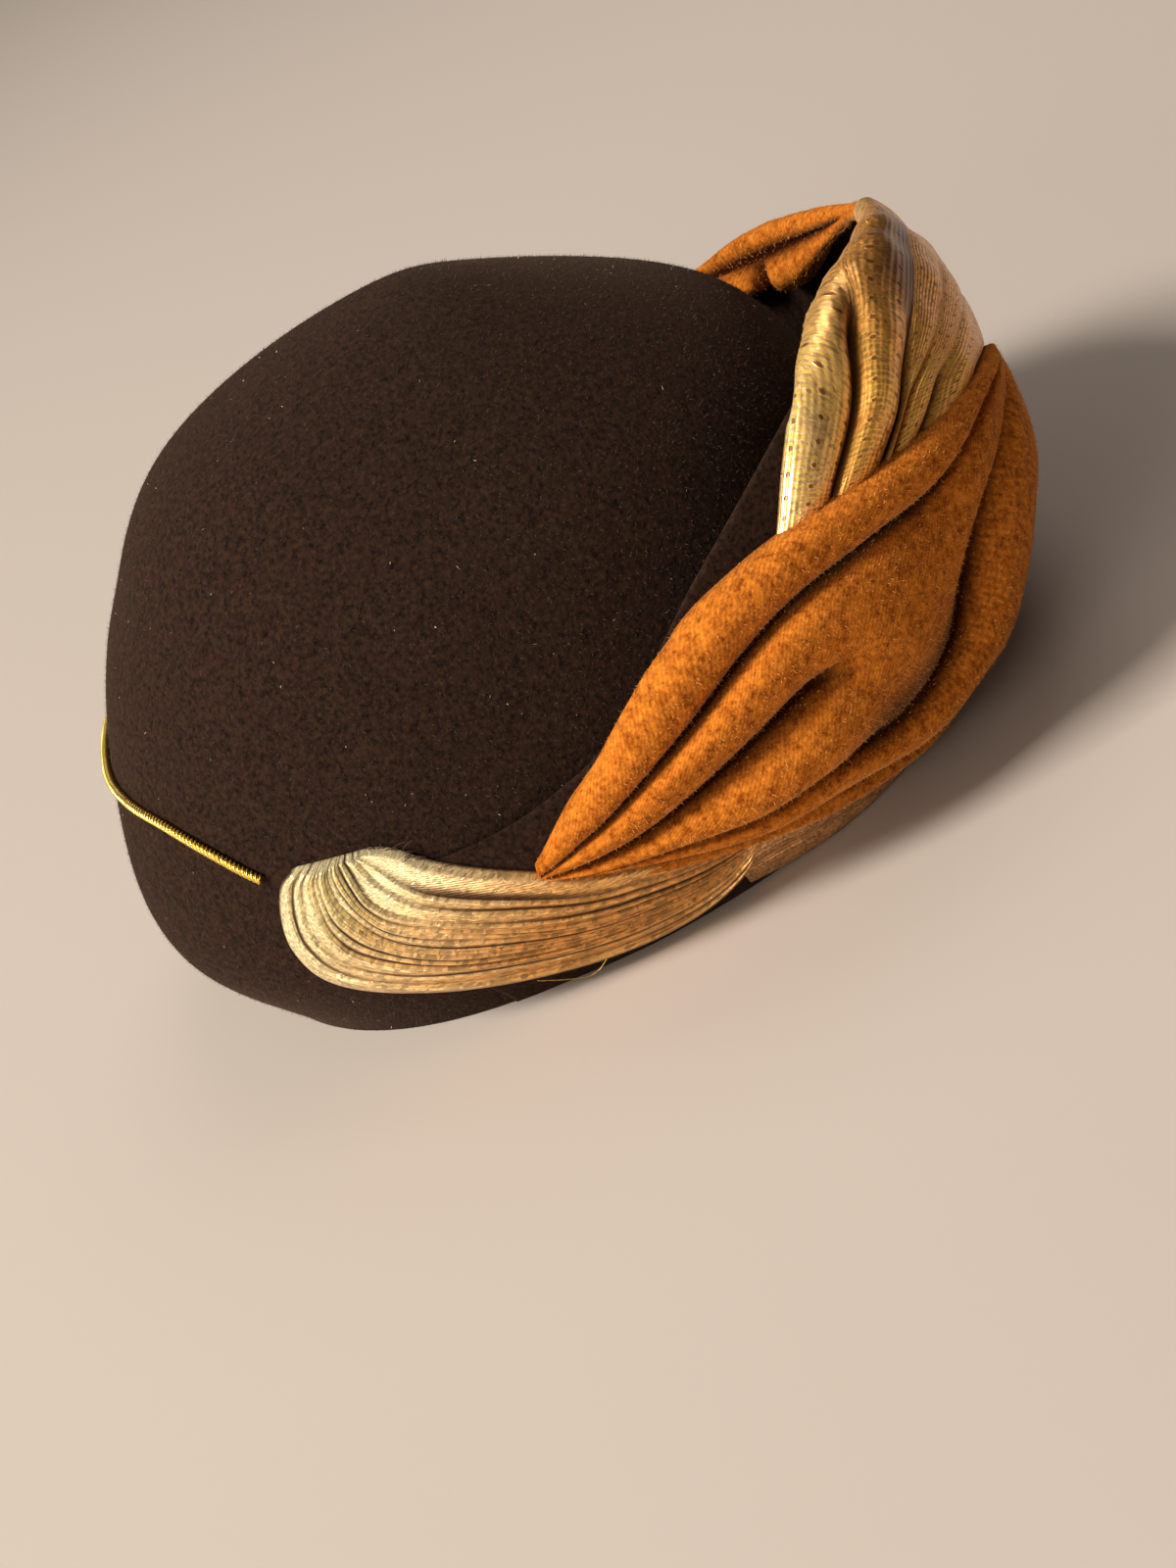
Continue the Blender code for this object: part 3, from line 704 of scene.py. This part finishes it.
dot_u = dot_maths("ADD", dot_u, dot_shift)
dot_x, dot_y = (dot_maths("SUBTRACT", dot_maths("FRACT", way), 0.5) for way in (dot_u, dot_v))
dot_away = dot_maths("SQRT", dot_maths("ADD", dot_maths("MULTIPLY", dot_x, dot_x),
                                       dot_maths("MULTIPLY", dot_y, dot_y)))
pin_dots.links.new(ranged(pin_dots, dot_away, 0.13, 0.08), dots_out.inputs["Dot"])
for label, axis, waves in (("Rib", 1, 1), ("Thread", 0, 3)):
    wave_turn = dot_maths("MULTIPLY", dot_maths("DIVIDE", cloth_place.outputs[axis],
                                                dots_in.outputs["Rib Pitch"]), 2 * math.pi * waves)
    pin_dots.links.new(dot_maths("MULTIPLY_ADD", dot_maths("SINE", wave_turn), 0.5, 0.5),
                       dots_out.inputs[label])


ladder_step = 1.5 * MM
ladder_reach = (62 * MM, 40 * MM)


def lame_material(name, dots, bright, deep, dark, opened, pale, rib_pitch=1.1 * MM, ladder=0.0):
    """Gold cloth: ribs and threads as bump, dark pin dots, and glints from thread to thread.

    dark is the colour of painted shade in its creases, and opened how far up a fold it reaches.
    pale is (axis, start, end, colour): a painted highlight, the cloth turns that colour from
    start to end of its UV. ladder is how strongly painted glints show as rungs across the
    threads near the end that comes out of a fold.
    """
    material, shader = new_material(name, Metallic=0.6, Roughness=0.31, Specular_IOR_Level=0.7)
    tree = material.node_tree
    uv = node(tree, "ShaderNodeUVMap", uv_map="cloth").outputs[0]
    way = node(tree, "ShaderNodeSeparateXYZ", {0: uv}).outputs
    group = node(tree, "ShaderNodeGroup", node_tree=pin_dots)
    group.inputs["Rib Pitch"].default_value = rib_pitch
    tree.links.new(uv, group.inputs["Vector"])
    glint = node(tree, "ShaderNodeTexVoronoi", {"Vector": uv, "Scale": 1700.0}, feature="F1")
    cloud = node(tree, "ShaderNodeTexNoise", {
        "Vector": uv, "Scale": 90.0, "Detail": 4.0, "Roughness": 0.6}).outputs["Fac"]
    # Painted highlight: the colour turns pale towards one end or edge of the cloth
    axis, start, end, highlight_colour = pale
    highlighted = mixed(tree, ranged(tree, way[axis], start, end),
                  mixed(tree, cloud, (*deep, 1), (*bright, 1)), (*highlight_colour, 1))
    # Painted glints: the colour is made brighter or darker from thread to thread
    spark = node(tree, "ShaderNodeSeparateColor", {0: glint.outputs["Color"]}).outputs
    glinting = mixed(tree, 1.0, highlighted, maths(tree, "MULTIPLY_ADD", spark[0], 0.75, 0.52),
                     blend_type="MULTIPLY")
    # Painted glints: bright amber rungs across the threads in patches near the end that comes out
    # of a fold
    rung_turn = maths(tree, "MULTIPLY", way[0], 2 * math.pi / ladder_step)
    rung = maths(tree, "MULTIPLY_ADD", maths(tree, "SINE", rung_turn), 0.8, 0.1)
    rung_glint_share = maths(tree, "MULTIPLY", ranged(tree, way[0], *ladder_reach, top=ladder),
                       ranged(tree, cloud, 0.40, 0.50))
    rung_glints = node(tree, "ShaderNodeClamp", {0: maths(tree, "MULTIPLY", rung, rung_glint_share)})
    lit = mixed(tree, rung_glints.outputs[0], glinting, (1.0, 0.62, 0.10, 1))
    dotted = mixed(tree, maths(tree, "MULTIPLY", group.outputs["Dot"], dots), lit,
                   (0.20, 0.050, 0.010, 1))
    # Painted shade in the creases
    add_painted_shade(tree, dotted, dark, opened, shader.inputs["Base Color"])
    height = maths(tree, "MULTIPLY", group.outputs["Thread"], 0.05)
    for relief, strength in ((group.outputs["Dot"], 0.8), (spark[1], 0.9),
                             (group.outputs["Rib"], 0.5)):
        height = maths(tree, "MULTIPLY_ADD", relief, strength, height)
    bump = node(tree, "ShaderNodeBump", {
        "Height": height, "Strength": 0.7, "Distance": 0.22 * MM})
    tree.links.new(bump.outputs["Normal"], shader.inputs["Normal"])
    return material


# Painted light on the twist: dark is the shade in its folds, pale a highlight along its top edge,
# and the ladder amber glints near the end that comes out from under the velvet
lame = lame_material("gold_lame", 0.85, bright=(0.98, 0.50, 0.13), deep=(0.70, 0.27, 0.035),
                     dark=(0.11, 0.030, 0.003), opened=0.7,
                     pale=(1, 15 * MM, 1 * MM, (1.0, 0.70, 0.31)), ladder=1.0)
lame_cut = (0.075, 0.165)
lame_twist = cloth_piece(
    "lame_folds",
    folded_cloth(LAME_LINES, LAME_LIFTS, LAME_ROLLS, cloth_steps, 20,
                 melts=((1, 0.30, 0.42),)),
    lame, lame_cut, seed=5, crumple_size=16 * MM, crumple_depth=0.3 * MM)
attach(lame_twist, "root")
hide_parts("lame_twist")


# Side drapes. A strip of the same lame on each side, pleated by hand: the pleats are tight at
# the front tip, fan out over the felt and turn up to a raw edge at the back.
drape_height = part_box("drape_right")[1][2] - hat_middle[2]
side_shares = {1: 1, -1: (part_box("drape_left")[1][2] - hat_middle[2]) / drape_height}
# The drape's lower line, which runs on up its rear end, and its upper line: angle from the
# front, and height as a share of the drape's
DRAPE_LOWER = ((75.5, .29), (80, .12), (88, .035), (100, .07), (111, .17), (121, .31),
               (128, .47), (130.5, .64), (130.5, .78), (129, .92), (126, .985))
DRAPE_UPPER = ((75.5, .30), (80, .36), (86, .44), (91, .53), (96, .64), (101, .735),
               (105, .81), (108, .87), (110, .92), (112, .955), (114, .975))
drape_pleats = 15
pleat_height = 1.7 * MM
drape_backing = 0.3 * MM
drape_cut = (0.065, 0.085)


def side_skin(angle, z, lift):
    """Points a lift off the felt at a height, over the halo's end and the crown behind it."""
    ramp = 8
    on_halo = smooth_step(0, ramp, halo_end + ramp - np.abs(angle))
    end = np.clip(angle, -halo_end, halo_end)
    stand = (halo_stand(end, z / halo_top(end)) + halo_wall(end)) * on_halo
    section = section_at(z)
    return on_oval(angle, section) + off_oval(angle, section) * (stand + lift)[..., None]


def pleat_profile(t, edges, steep):
    """Which knife pleat each place across a sheet is on, and its height there from 0 to 1.

    A pleat rises slowly and drops over its last share, steep.
    """
    which = np.clip(np.searchsorted(edges, t, side="right") - 1, 0, len(edges) - 2)
    share = (t - edges[which]) / (edges[which + 1] - edges[which])
    return which, np.where(share < 1 - steep, (share / (1 - steep)) ** 1.4,
                           1 - smooth_step(1 - steep, 1, share))


def make_drape(name, side, seed):
    """A pleated drape, on the wearer's right for a side of 1 and left for -1.

    s runs from the front tip to the raw edge at the back, and t from the lower to the upper line.
    """
    per_pleat = 11
    chance = np.random.default_rng(seed)
    off_middle = np.abs(np.linspace(-1, 1, drape_pleats))
    widths = chance.uniform(0.5, 1.3, drape_pleats) * (0.6 + 1.9 * off_middle ** 2.5)
    edges = np.concatenate([[0], np.cumsum(widths) / widths.sum()])
    tall = chance.uniform(0.55, 1.35, drape_pleats)
    fade_at = chance.uniform(0, 2 * np.pi, drape_pleats)
    count = drape_pleats * per_pleat
    t = np.interp(np.arange(count + 1) / per_pleat, np.arange(drape_pleats + 1), edges)[None, :]
    s = np.linspace(0, 1, cloth_steps)[:, None]
    (low_angle, low_z), (high_angle, high_z) = (
        [along_values(column, s) for column in zip(*line)] for line in (DRAPE_LOWER, DRAPE_UPPER))
    wander = (0.012 * np.sin(2 * np.pi * (s * 1.3 + t * 2.1) + seed)
              + 0.008 * np.sin(2 * np.pi * (s * 3.1 - t * 3.7))) * np.sin(np.pi * s)
    across = np.clip(t + wander * np.sin(np.pi * t), 0, 1)
    angle = side * (low_angle * (1 - across) + high_angle * across)
    z = (low_z * (1 - across) + high_z * across) * drape_height * side_shares[side]

    which, profile = pleat_profile(t, edges, steep=0.20)
    fullness = smooth_step(0, 0.25, s) * 0.75 + 0.25
    strong = 0.62 + 0.38 * np.sin(2 * np.pi * s * 1.4 + fade_at[which])
    pleat = profile * tall[which] * pleat_height * fullness * (0.3 + 0.7 * strong)
    # Painted shadow lines: fold darkens the steep drop of each pleat, more where the pleat is
    # strong
    fold = 1 - (1 - smooth_step(-0.02, 0.5, profile)) * (0.2 + 0.8 * strong)
    swell = (np.sin(np.pi * np.clip(t, 0, 1)) ** 0.6 * 1.6
             + 0.7 * np.sin(2 * np.pi * (t * 1.7 + 0.2) + seed) * smooth_step(0.5, 1, s)) * MM
    edge = np.minimum(np.minimum(t, 1 - t) * 30, 1) * np.minimum((1 - s) * 40, 1)
    lift = 0.6 * MM + edge * (1.1 * MM + swell * smooth_step(0, 0.2, s) + pleat)

    outer = side_skin(angle, z, lift)
    inner = side_skin(angle, z, np.full_like(lift, drape_backing))
    uv = np.stack([s * drape_cut[1] * np.ones_like(t),
                   t * drape_cut[0] * (0.35 + 0.65 * s)], -1)
    points, uv, fold = (np.concatenate(pair, 1) for pair in (
        (outer, inner[:, ::-1]), (uv, uv[:, ::-1]), (fold, fold[:, ::-1])))
    points[..., 2] = np.maximum(points[..., 2], hat_middle[2] + 0.4 * MM)
    drape = make_piece(name, points[:, ::side], drape_lame, uv[:, ::side], fold[:, ::side])
    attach(drape, "root")
    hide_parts(name.replace("_pleats", ""))


# Painted light on the drapes: dark is the shade in the pleats, and pale a highlight towards the
# rear end
drape_lame = lame_material("drape_lame", 0.0, bright=(0.98, 0.56, 0.20), deep=(0.62, 0.29, 0.07),
                           dark=(0.06, 0.022, 0.005), opened=0.9,
                           pale=(0, 30 * MM, 66 * MM, (1.0, 0.84, 0.48)), rib_pitch=0.8 * MM)
make_drape("drape_right_pleats", 1, seed=21)
make_drape("drape_left_pleats", -1, seed=33)


# Rim bindings. Under the twist a strip of the same lame is folded over the rim on each side,
# in two narrow pleats that are sewn down along the rim.
# Painted light on the bindings: dark is the shade in the pleats, and pale a highlight towards one
# end
binding_lame = lame_material("binding_lame", 0.0, bright=(0.72, 0.38, 0.15),
                             deep=(0.46, 0.20, 0.06), dark=(0.10, 0.03, 0.008), opened=0.5,
                             pale=(0, 60 * MM, 80 * MM, (0.80, 0.50, 0.24)),
                             rib_pitch=0.9 * MM)
BINDING_LINES = (
    # places as angle and height in millimetres, from the upper edge to the rim
    ((44, 4.0), (52, 7.0), (60, 9.5), (68, 12.5), (75, 15.5), (80, 14.0)),
    ((44, 2.6), (52, 4.2), (60, 5.4), (68, 7.2), (75, 9.5), (80, 9.0)),
    ((44, 0.7), (52, 0.7), (60, 0.7), (68, 0.8), (75, 2.0), (80, 3.5)),
)
BINDING_LIFTS = ((0.3,) * 6, (0.7, 0.8, 0.8, 0.8, 0.7, 0.4), (0.3,) * 6)
BINDING_ROLLS = (((0.5, 1.2, 1.6, 1.6, 1.0, 0.2), 0.5), ((0.5, 1.0, 1.6, 1.6, 1.0, 0.2), 0.5))
binding_lowest = 0.7
binding_cut = (0.014, 0.065)


def make_binding(name, side):
    """A folded strip along the rim, on the wearer's right for a side of 1 and left for -1."""
    lines = [[(side * a, max(z * side_shares[side], binding_lowest) * MM / halo_top(side * a))
              for a, z in line] for line in BINDING_LINES]
    cloth = folded_cloth(lines, BINDING_LIFTS, BINDING_ROLLS, stations=120, samples=12)
    cloth = [value[:, ::side] for value in cloth]
    binding = cloth_piece(name, cloth, binding_lame, binding_cut, seed=2 + side,
                          crumple_size=9 * MM, crumple_depth=0.12 * MM)
    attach(binding, "root")
    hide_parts(name.replace("_folds", ""))


make_binding("binding_right_folds", 1)
make_binding("binding_left_folds", -1)


# Gold cord. Three strands of metal thread twisted together, sewn down round the back of the
# crown from drape to drape.
cord_radius = 1.25 * MM
CORD_STATIONS = (
    # angle, height as a share of the crown's
    (131.5, 0.40),
    (140, 0.45),
    (150, 0.49),
    (163, 0.505),
    (180, 0.50),
)


def geometry_tree(name, sockets):
    """A geometry node group with named inputs, its input and output nodes."""
    tree = bpy.data.node_groups.new(name, "GeometryNodeTree")
    tree.interface.new_socket("Geometry", in_out="INPUT", socket_type="NodeSocketGeometry")
    for label, kind, value in sockets:
        socket = tree.interface.new_socket(label, in_out="INPUT", socket_type="NodeSocket" + kind)
        if value is not None:
            socket.default_value = value
    tree.interface.new_socket("Geometry", in_out="OUTPUT", socket_type="NodeSocketGeometry")
    return tree, tree.nodes.new("NodeGroupInput"), tree.nodes.new("NodeGroupOutput")


def run_nodes(name, mesh, tree, **values):
    """A new piece from a mesh sent through a geometry node group, with its inputs set."""
    holder = bpy.data.objects.new(name + "_source", mesh)
    bpy.context.scene.collection.objects.link(holder)
    modifier = holder.modifiers.new("nodes", "NODES")
    modifier.node_group = tree
    wanted = {key.replace("_", " "): value for key, value in values.items()}
    for socket in tree.interface.items_tree:
        if socket.in_out == "INPUT" and socket.name in wanted:
            modifier[socket.identifier] = wanted[socket.name]
    bpy.context.view_layer.update()
    graph = bpy.context.evaluated_depsgraph_get()
    made = bpy.data.meshes.new_from_object(holder.evaluated_get(graph))
    made.name = name
    bpy.data.objects.remove(holder, do_unlink=True)
    piece = bpy.data.objects.new(name, made)
    bpy.context.scene.collection.objects.link(piece)
    return piece


def line_mesh(name, lines):
    """A mesh of open polylines, each an array of points."""
    vertices, edges = [], []
    for line in lines:
        start = len(vertices)
        vertices += [tuple(point) for point in line]
        edges += [(start + i, start + i + 1) for i in range(len(line) - 1)]
    mesh = bpy.data.meshes.new(name)
    mesh.from_pydata(vertices, edges, [])
    return mesh


twisted, twisted_in, twisted_out = geometry_tree("twisted strands", (
    ("Strand Radius", "Float", 0.6 * MM),
    ("Strand Offset", "Float", 0.6 * MM),
    ("Turns", "Float", 40.0),
    ("Steps", "Int", 700),
    ("Material", "Material", None),
))
route = node(twisted, "GeometryNodeMeshToCurve", {"Mesh": twisted_in.outputs["Geometry"]})
fine_route = node(twisted, "GeometryNodeResampleCurve", {
    "Curve": route.outputs[0], "Count": twisted_in.outputs["Steps"]})
progress = node(twisted, "GeometryNodeSplineParameter")
twist_turns = maths(twisted, "MULTIPLY", progress.outputs["Factor"], twisted_in.outputs["Turns"])
tilted = node(twisted, "GeometryNodeSetCurveTilt", {
    "Curve": fine_route.outputs[0], "Tilt": maths(twisted, "MULTIPLY", twist_turns, 2 * math.pi)})
strand = node(twisted, "GeometryNodeCurvePrimitiveCircle", {
    "Resolution": 8, "Radius": twisted_in.outputs["Strand Radius"]})
strands = node(twisted, "GeometryNodeJoinGeometry")
for third in range(3):
    turn = 2 * math.pi * third / 3
    strand_x, strand_y = (maths(twisted, "MULTIPLY", twisted_in.outputs["Strand Offset"], way)
                          for way in (math.cos(turn), math.sin(turn)))
    offset = node(twisted, "ShaderNodeCombineXYZ", {0: strand_x, 1: strand_y})
    moved = node(twisted, "GeometryNodeTransform", {
        "Geometry": strand.outputs[0], "Translation": offset.outputs[0]})
    twisted.links.new(moved.outputs[0], strands.inputs[0])
swept = node(twisted, "GeometryNodeCurveToMesh", {
    "Curve": tilted.outputs[0], "Profile Curve": strands.outputs[0], "Fill Caps": True})
smooth = node(twisted, "GeometryNodeSetShadeSmooth", {0: swept.outputs[0]})
painted = node(twisted, "GeometryNodeSetMaterial", {
    "Geometry": smooth.outputs[0], "Material": twisted_in.outputs["Material"]})
twisted.links.new(painted.outputs[0], twisted_out.inputs[0])

cord_gold, cord_shader = new_material("gold_cord", Base_Color=(0.95, 0.68, 0.16, 1),
                                      Metallic=1.0, Roughness=0.28)
cord_glint = node(cord_gold.node_tree, "ShaderNodeTexNoise", {
    "Vector": node(cord_gold.node_tree, "ShaderNodeTexCoord").outputs["Object"],
    "Scale": 3000.0, "Detail": 2.0})
cord_bump = node(cord_gold.node_tree, "ShaderNodeBump", {
    "Height": cord_glint.outputs["Fac"], "Strength": 0.5, "Distance": 0.15 * MM})
cord_gold.node_tree.links.new(cord_bump.outputs["Normal"], cord_shader.inputs["Normal"])

cord_start = CORD_STATIONS[0][0]
cord_angles = np.linspace(cord_start, 360 - cord_start, 160)
cord_share = curve(CORD_STATIONS, np.minimum(cord_angles, 360 - cord_angles), 1, end_slope=0)
cord_section = section_at(crown_height * cord_share)
cord_route = (on_oval(cord_angles, cord_section)
              + off_oval(cord_angles, cord_section) * (cord_radius + 0.1 * MM))
cord = run_nodes("twisted_gold_cord", line_mesh("cord_route", [cord_route]), twisted,
                 Strand_Radius=0.62 * MM, Strand_Offset=0.63 * MM, Turns=44.0, Steps=700,
                 Material=cord_gold)
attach(cord, "root")
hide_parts("gold_cord")


# Loose threads. The raw upper edges of the drapes have frayed into short dark threads, and one
# gold thread hangs out under the right drape.
dark_thread, _ = new_material("dark_thread", Base_Color=(0.045, 0.018, 0.008, 1), Roughness=0.85)


def frayed(side, count, seed, longest):
    """Curling threads along the rear half of a drape's upper edge, as lines of points."""
    chance = np.random.default_rng(seed)
    far = np.linspace(0, 1, 6)
    edge_lift = 0.9 * MM
    lines = []
    for _ in range(count):
        start = 0.55 + 0.45 * chance.uniform(0, 1)
        angle, height = (along_values(column, start) for column in zip(*DRAPE_UPPER))
        slant, rising, curl = (chance.uniform(*span) for span in ((-2, 2), (0.3, 1), (-1, 1)))
        long = longest * chance.uniform(0.4, 1)
        lines.append(side_skin(side * angle + slant * far + curl * far ** 2,
                               height * drape_height * side_shares[side]
                               + rising * long * far - 0.4 * long * far ** 2,
                               edge_lift + 0.35 * long * far * (1 - 0.4 * far)))
    return lines


def thread_piece(name, lines, thickness, material):
    """Loose twisted threads along lines of points."""
    threads = run_nodes(name, line_mesh(name, lines), twisted, Strand_Radius=thickness * 0.55,
                        Strand_Offset=thickness * 0.45, Turns=3.0, Steps=14, Material=material)
    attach(threads, "root")


for side, side_name, seed in ((1, "right", 5), (-1, "left", 6)):
    thread_piece(f"drape_{side_name}_threads", frayed(side, 16, seed, 5 * MM), 0.11 * MM,
                 dark_thread)
thread_piece("stray_gold_thread", [side_skin(
    np.array([106.0, 104, 102, 100.5, 99, 97.5, 96]),
    np.array([6.5, 4.0, 2.0, 1.2, 2.2, 4.2, 6.5]) * MM,
    np.array([2.0, 2.4, 2.8, 3.0, 2.8, 2.4, 2.0]) * MM)], 0.14 * MM, cord_gold)


# Fibres. Loose hairs stand off the felt and the velvet and catch the light, and a few specks of
# pale lint lie on the crown.
hairs, hairs_in, hairs_out = geometry_tree("loose hairs", (
    ("Density", "Float", 1e6),
    ("Length", "Float", 1.2 * MM),
    ("Width", "Float", 0.05 * MM),
    ("Spread", "Float", 1.0),
    ("Seed", "Int", 0),
    ("Material", "Material", None),
))
scattered = node(hairs, "GeometryNodeDistributePointsOnFaces", {
    "Mesh": hairs_in.outputs["Geometry"], "Density": hairs_in.outputs["Density"],
    "Seed": hairs_in.outputs["Seed"]})
spike = node(hairs, "GeometryNodeMeshCircle", {"Vertices": 3, "Radius": 1.0}, fill_type="NGON")
spike_size = node(hairs, "ShaderNodeCombineXYZ", {
    0: hairs_in.outputs["Width"], 1: hairs_in.outputs["Length"], 2: 1.0})
thin = node(hairs, "GeometryNodeTransform", {
    "Geometry": spike.outputs[0], "Scale": spike_size.outputs[0]})
leaning = node(hairs, "FunctionNodeRandomValue", {
    0: (-1.0, -1.0, -1.0), 1: (1.0, 1.0, 1.0), "Seed": hairs_in.outputs["Seed"]},
    data_type="FLOAT_VECTOR")
leaned = node(hairs, "ShaderNodeVectorMath", {0: leaning.outputs[0]}, operation="SCALE")
hairs.links.new(hairs_in.outputs["Spread"], leaned.inputs["Scale"])
growing = node(hairs, "ShaderNodeVectorMath", {
    0: scattered.outputs["Normal"], 1: leaned.outputs[0]}, operation="ADD")
aimed = node(hairs, "FunctionNodeAlignRotationToVector", {"Vector": growing.outputs[0]}, axis="Y")
sizes = node(hairs, "FunctionNodeRandomValue", {2: 0.4, 3: 1.3}, data_type="FLOAT")
planted = node(hairs, "GeometryNodeInstanceOnPoints", {
    "Points": scattered.outputs["Points"], "Instance": thin.outputs[0],
    "Rotation": aimed.outputs[0], "Scale": sizes.outputs[1]})
real_hairs = node(hairs, "GeometryNodeRealizeInstances", {0: planted.outputs[0]})
hairs_painted = node(hairs, "GeometryNodeSetMaterial", {
    "Geometry": real_hairs.outputs[0], "Material": hairs_in.outputs["Material"]})
hairs.links.new(hairs_painted.outputs[0], hairs_out.inputs[0])


def open_skin(name, points):
    """An open grid mesh, for hairs to grow on."""
    rows, columns = points.shape[:2]
    index = np.arange(rows * columns).reshape(rows, columns)
    quads = np.stack([index[:-1, :-1], index[:-1, 1:], index[1:, 1:], index[1:, :-1]], -1)
    mesh = bpy.data.meshes.new(name)
    mesh.from_pydata(points.reshape(-1, 3).tolist(), [], quads.reshape(-1, 4).tolist())
    return mesh


def grow_hairs(name, skin, material, slot, **values):
    """A piece of hairs that grow on an open grid of points."""
    piece = run_nodes(name, open_skin("skin", skin), hairs, Material=material, **values)
    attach(piece, "root")


felt_hair, _ = new_material("felt_hair", Base_Color=(0.055, 0.032, 0.021, 1), Roughness=0.8)
velvet_hair, _ = new_material("velvet_hair", Base_Color=(0.66, 0.27, 0.055, 1), Roughness=0.8)
lint, _ = new_material("lint", Base_Color=(0.42, 0.35, 0.27, 1), Roughness=0.9)
crown_face = np.concatenate([crown_loops[:crown_rows], crown_loops[:crown_rows, :1]], 1)
grow_hairs("crown_hairs", crown_face, felt_hair, "brown_felt", Density=0.9e6,
           Length=1.0 * MM, Width=0.07 * MM, Spread=1.3, Seed=4)
grow_hairs("crown_lint", crown_face, lint, "brown_felt", Density=9e3,
           Length=0.7 * MM, Width=0.14 * MM, Spread=3.0, Seed=11)


def outer_face(piece):
    """The outward half of a velvet piece, as a grid of points."""
    points = np.empty(len(piece.data.vertices) * 3)
    piece.data.vertices.foreach_get("co", points)
    loops = points.reshape(cloth_steps, -1, 3)
    return loops[:, :loops.shape[1] // 2]


for side_name, velvet_piece, seed in (("right", velvet_right, 6), ("left", velvet_left, 7)):
    grow_hairs(f"velvet_{side_name}_pile", outer_face(velvet_piece), velvet_hair,
               "orange_velvet", Density=1.2e6, Length=0.9 * MM, Width=0.08 * MM, Spread=0.9,
               Seed=seed)


# Studio. A plain pale floor that runs to the edge of the view, a large soft light from the
# upper left and a pale surround.
camera_height, camera_roll = math.radians(28), math.radians(29.4)
camera_distance = 662.4 * MM
lens_pixels, photo_height, sensor_height = 2560, 1600, 36
aim_shift = np.array((0, 1.2 * MM, 0))
aim_rise = 0.2 * MM


def placed(right, upward, back, place):
    """The matrix of a camera or lamp from its three directions and its place."""
    return Matrix([*zip(right, upward, back, place), (0, 0, 0, 1)])


away = np.array((-math.cos(camera_height), 0, math.sin(camera_height)))
level = np.array((0, -1, 0))
steep = np.cross(away, level)
camera_right = math.cos(camera_roll) * level - math.sin(camera_roll) * steep
camera_up = math.sin(camera_roll) * level + math.cos(camera_roll) * steep
camera_data = bpy.data.cameras.new("camera")
camera_data.sensor_fit = "VERTICAL"
camera_data.sensor_height = sensor_height
camera_data.lens = sensor_height * lens_pixels / photo_height
camera_data.clip_start = 0.01
camera = bpy.data.objects.new("camera", camera_data)
camera.matrix_world = placed(
    camera_right, camera_up, away,
    hat_middle + aim_shift + away * camera_distance - camera_up * aim_rise)
bpy.context.scene.collection.objects.link(camera)
bpy.context.scene.camera = camera

floor_material, _ = new_material("pale_floor", Base_Color=(0.42, 0.365, 0.32, 1), Roughness=0.9)
bpy.ops.mesh.primitive_plane_add(size=8, location=(0, 0, float(hat_middle[2])))
floor = bpy.context.object
floor.name = "floor"
floor.data.materials.append(floor_material)


def soft_light(name, place, size, power, colour):
    """A square area light that looks at the hat."""
    data = bpy.data.lights.new(name, "AREA")
    data.energy, data.size, data.color = power, size, colour
    lamp = bpy.data.objects.new(name, data)
    back = unit(np.array(place) - np.array((0, 0, 0.07)))
    right = unit(np.cross((0, 0, 1), back))
    lamp.matrix_world = placed(right, np.cross(back, right), back, place)
    bpy.context.scene.collection.objects.link(lamp)


soft_light("window", (-0.70, 2.70, 2.70), 1.1, 235, (1.0, 0.94, 0.87))
soft_light("room", (-1.35, 1.25, 0.45), 0.9, 17, (1.0, 0.90, 0.78))
soft_light("ceiling", (0.9, -0.5, 1.7), 1.1, 9, (1.0, 0.95, 0.90))
world = bpy.data.worlds.new("surround")
world.use_nodes = True
surround = world.node_tree
# The surround is pale on the window's side and darkens round to the other side
window_side = node(surround, "ShaderNodeVectorMath", {
    0: node(surround, "ShaderNodeTexCoord").outputs["Generated"],
    1: (-0.40, 0.72, 0.57)}, operation="DOT_PRODUCT")
pale_share = ranged(surround, window_side.outputs["Value"], 0.0, 1.0,
                    interpolation_type="SMOOTHSTEP")
surround_tone = mixed(surround, pale_share, (0.10, 0.075, 0.055, 1), (1.0, 0.92, 0.83, 1))
surround.links.new(surround_tone, surround.nodes["Background"].inputs["Color"])
surround.nodes["Background"].inputs["Strength"].default_value = 0.42
bpy.context.scene.world = world
bpy.context.scene.view_settings.view_transform = "Standard"
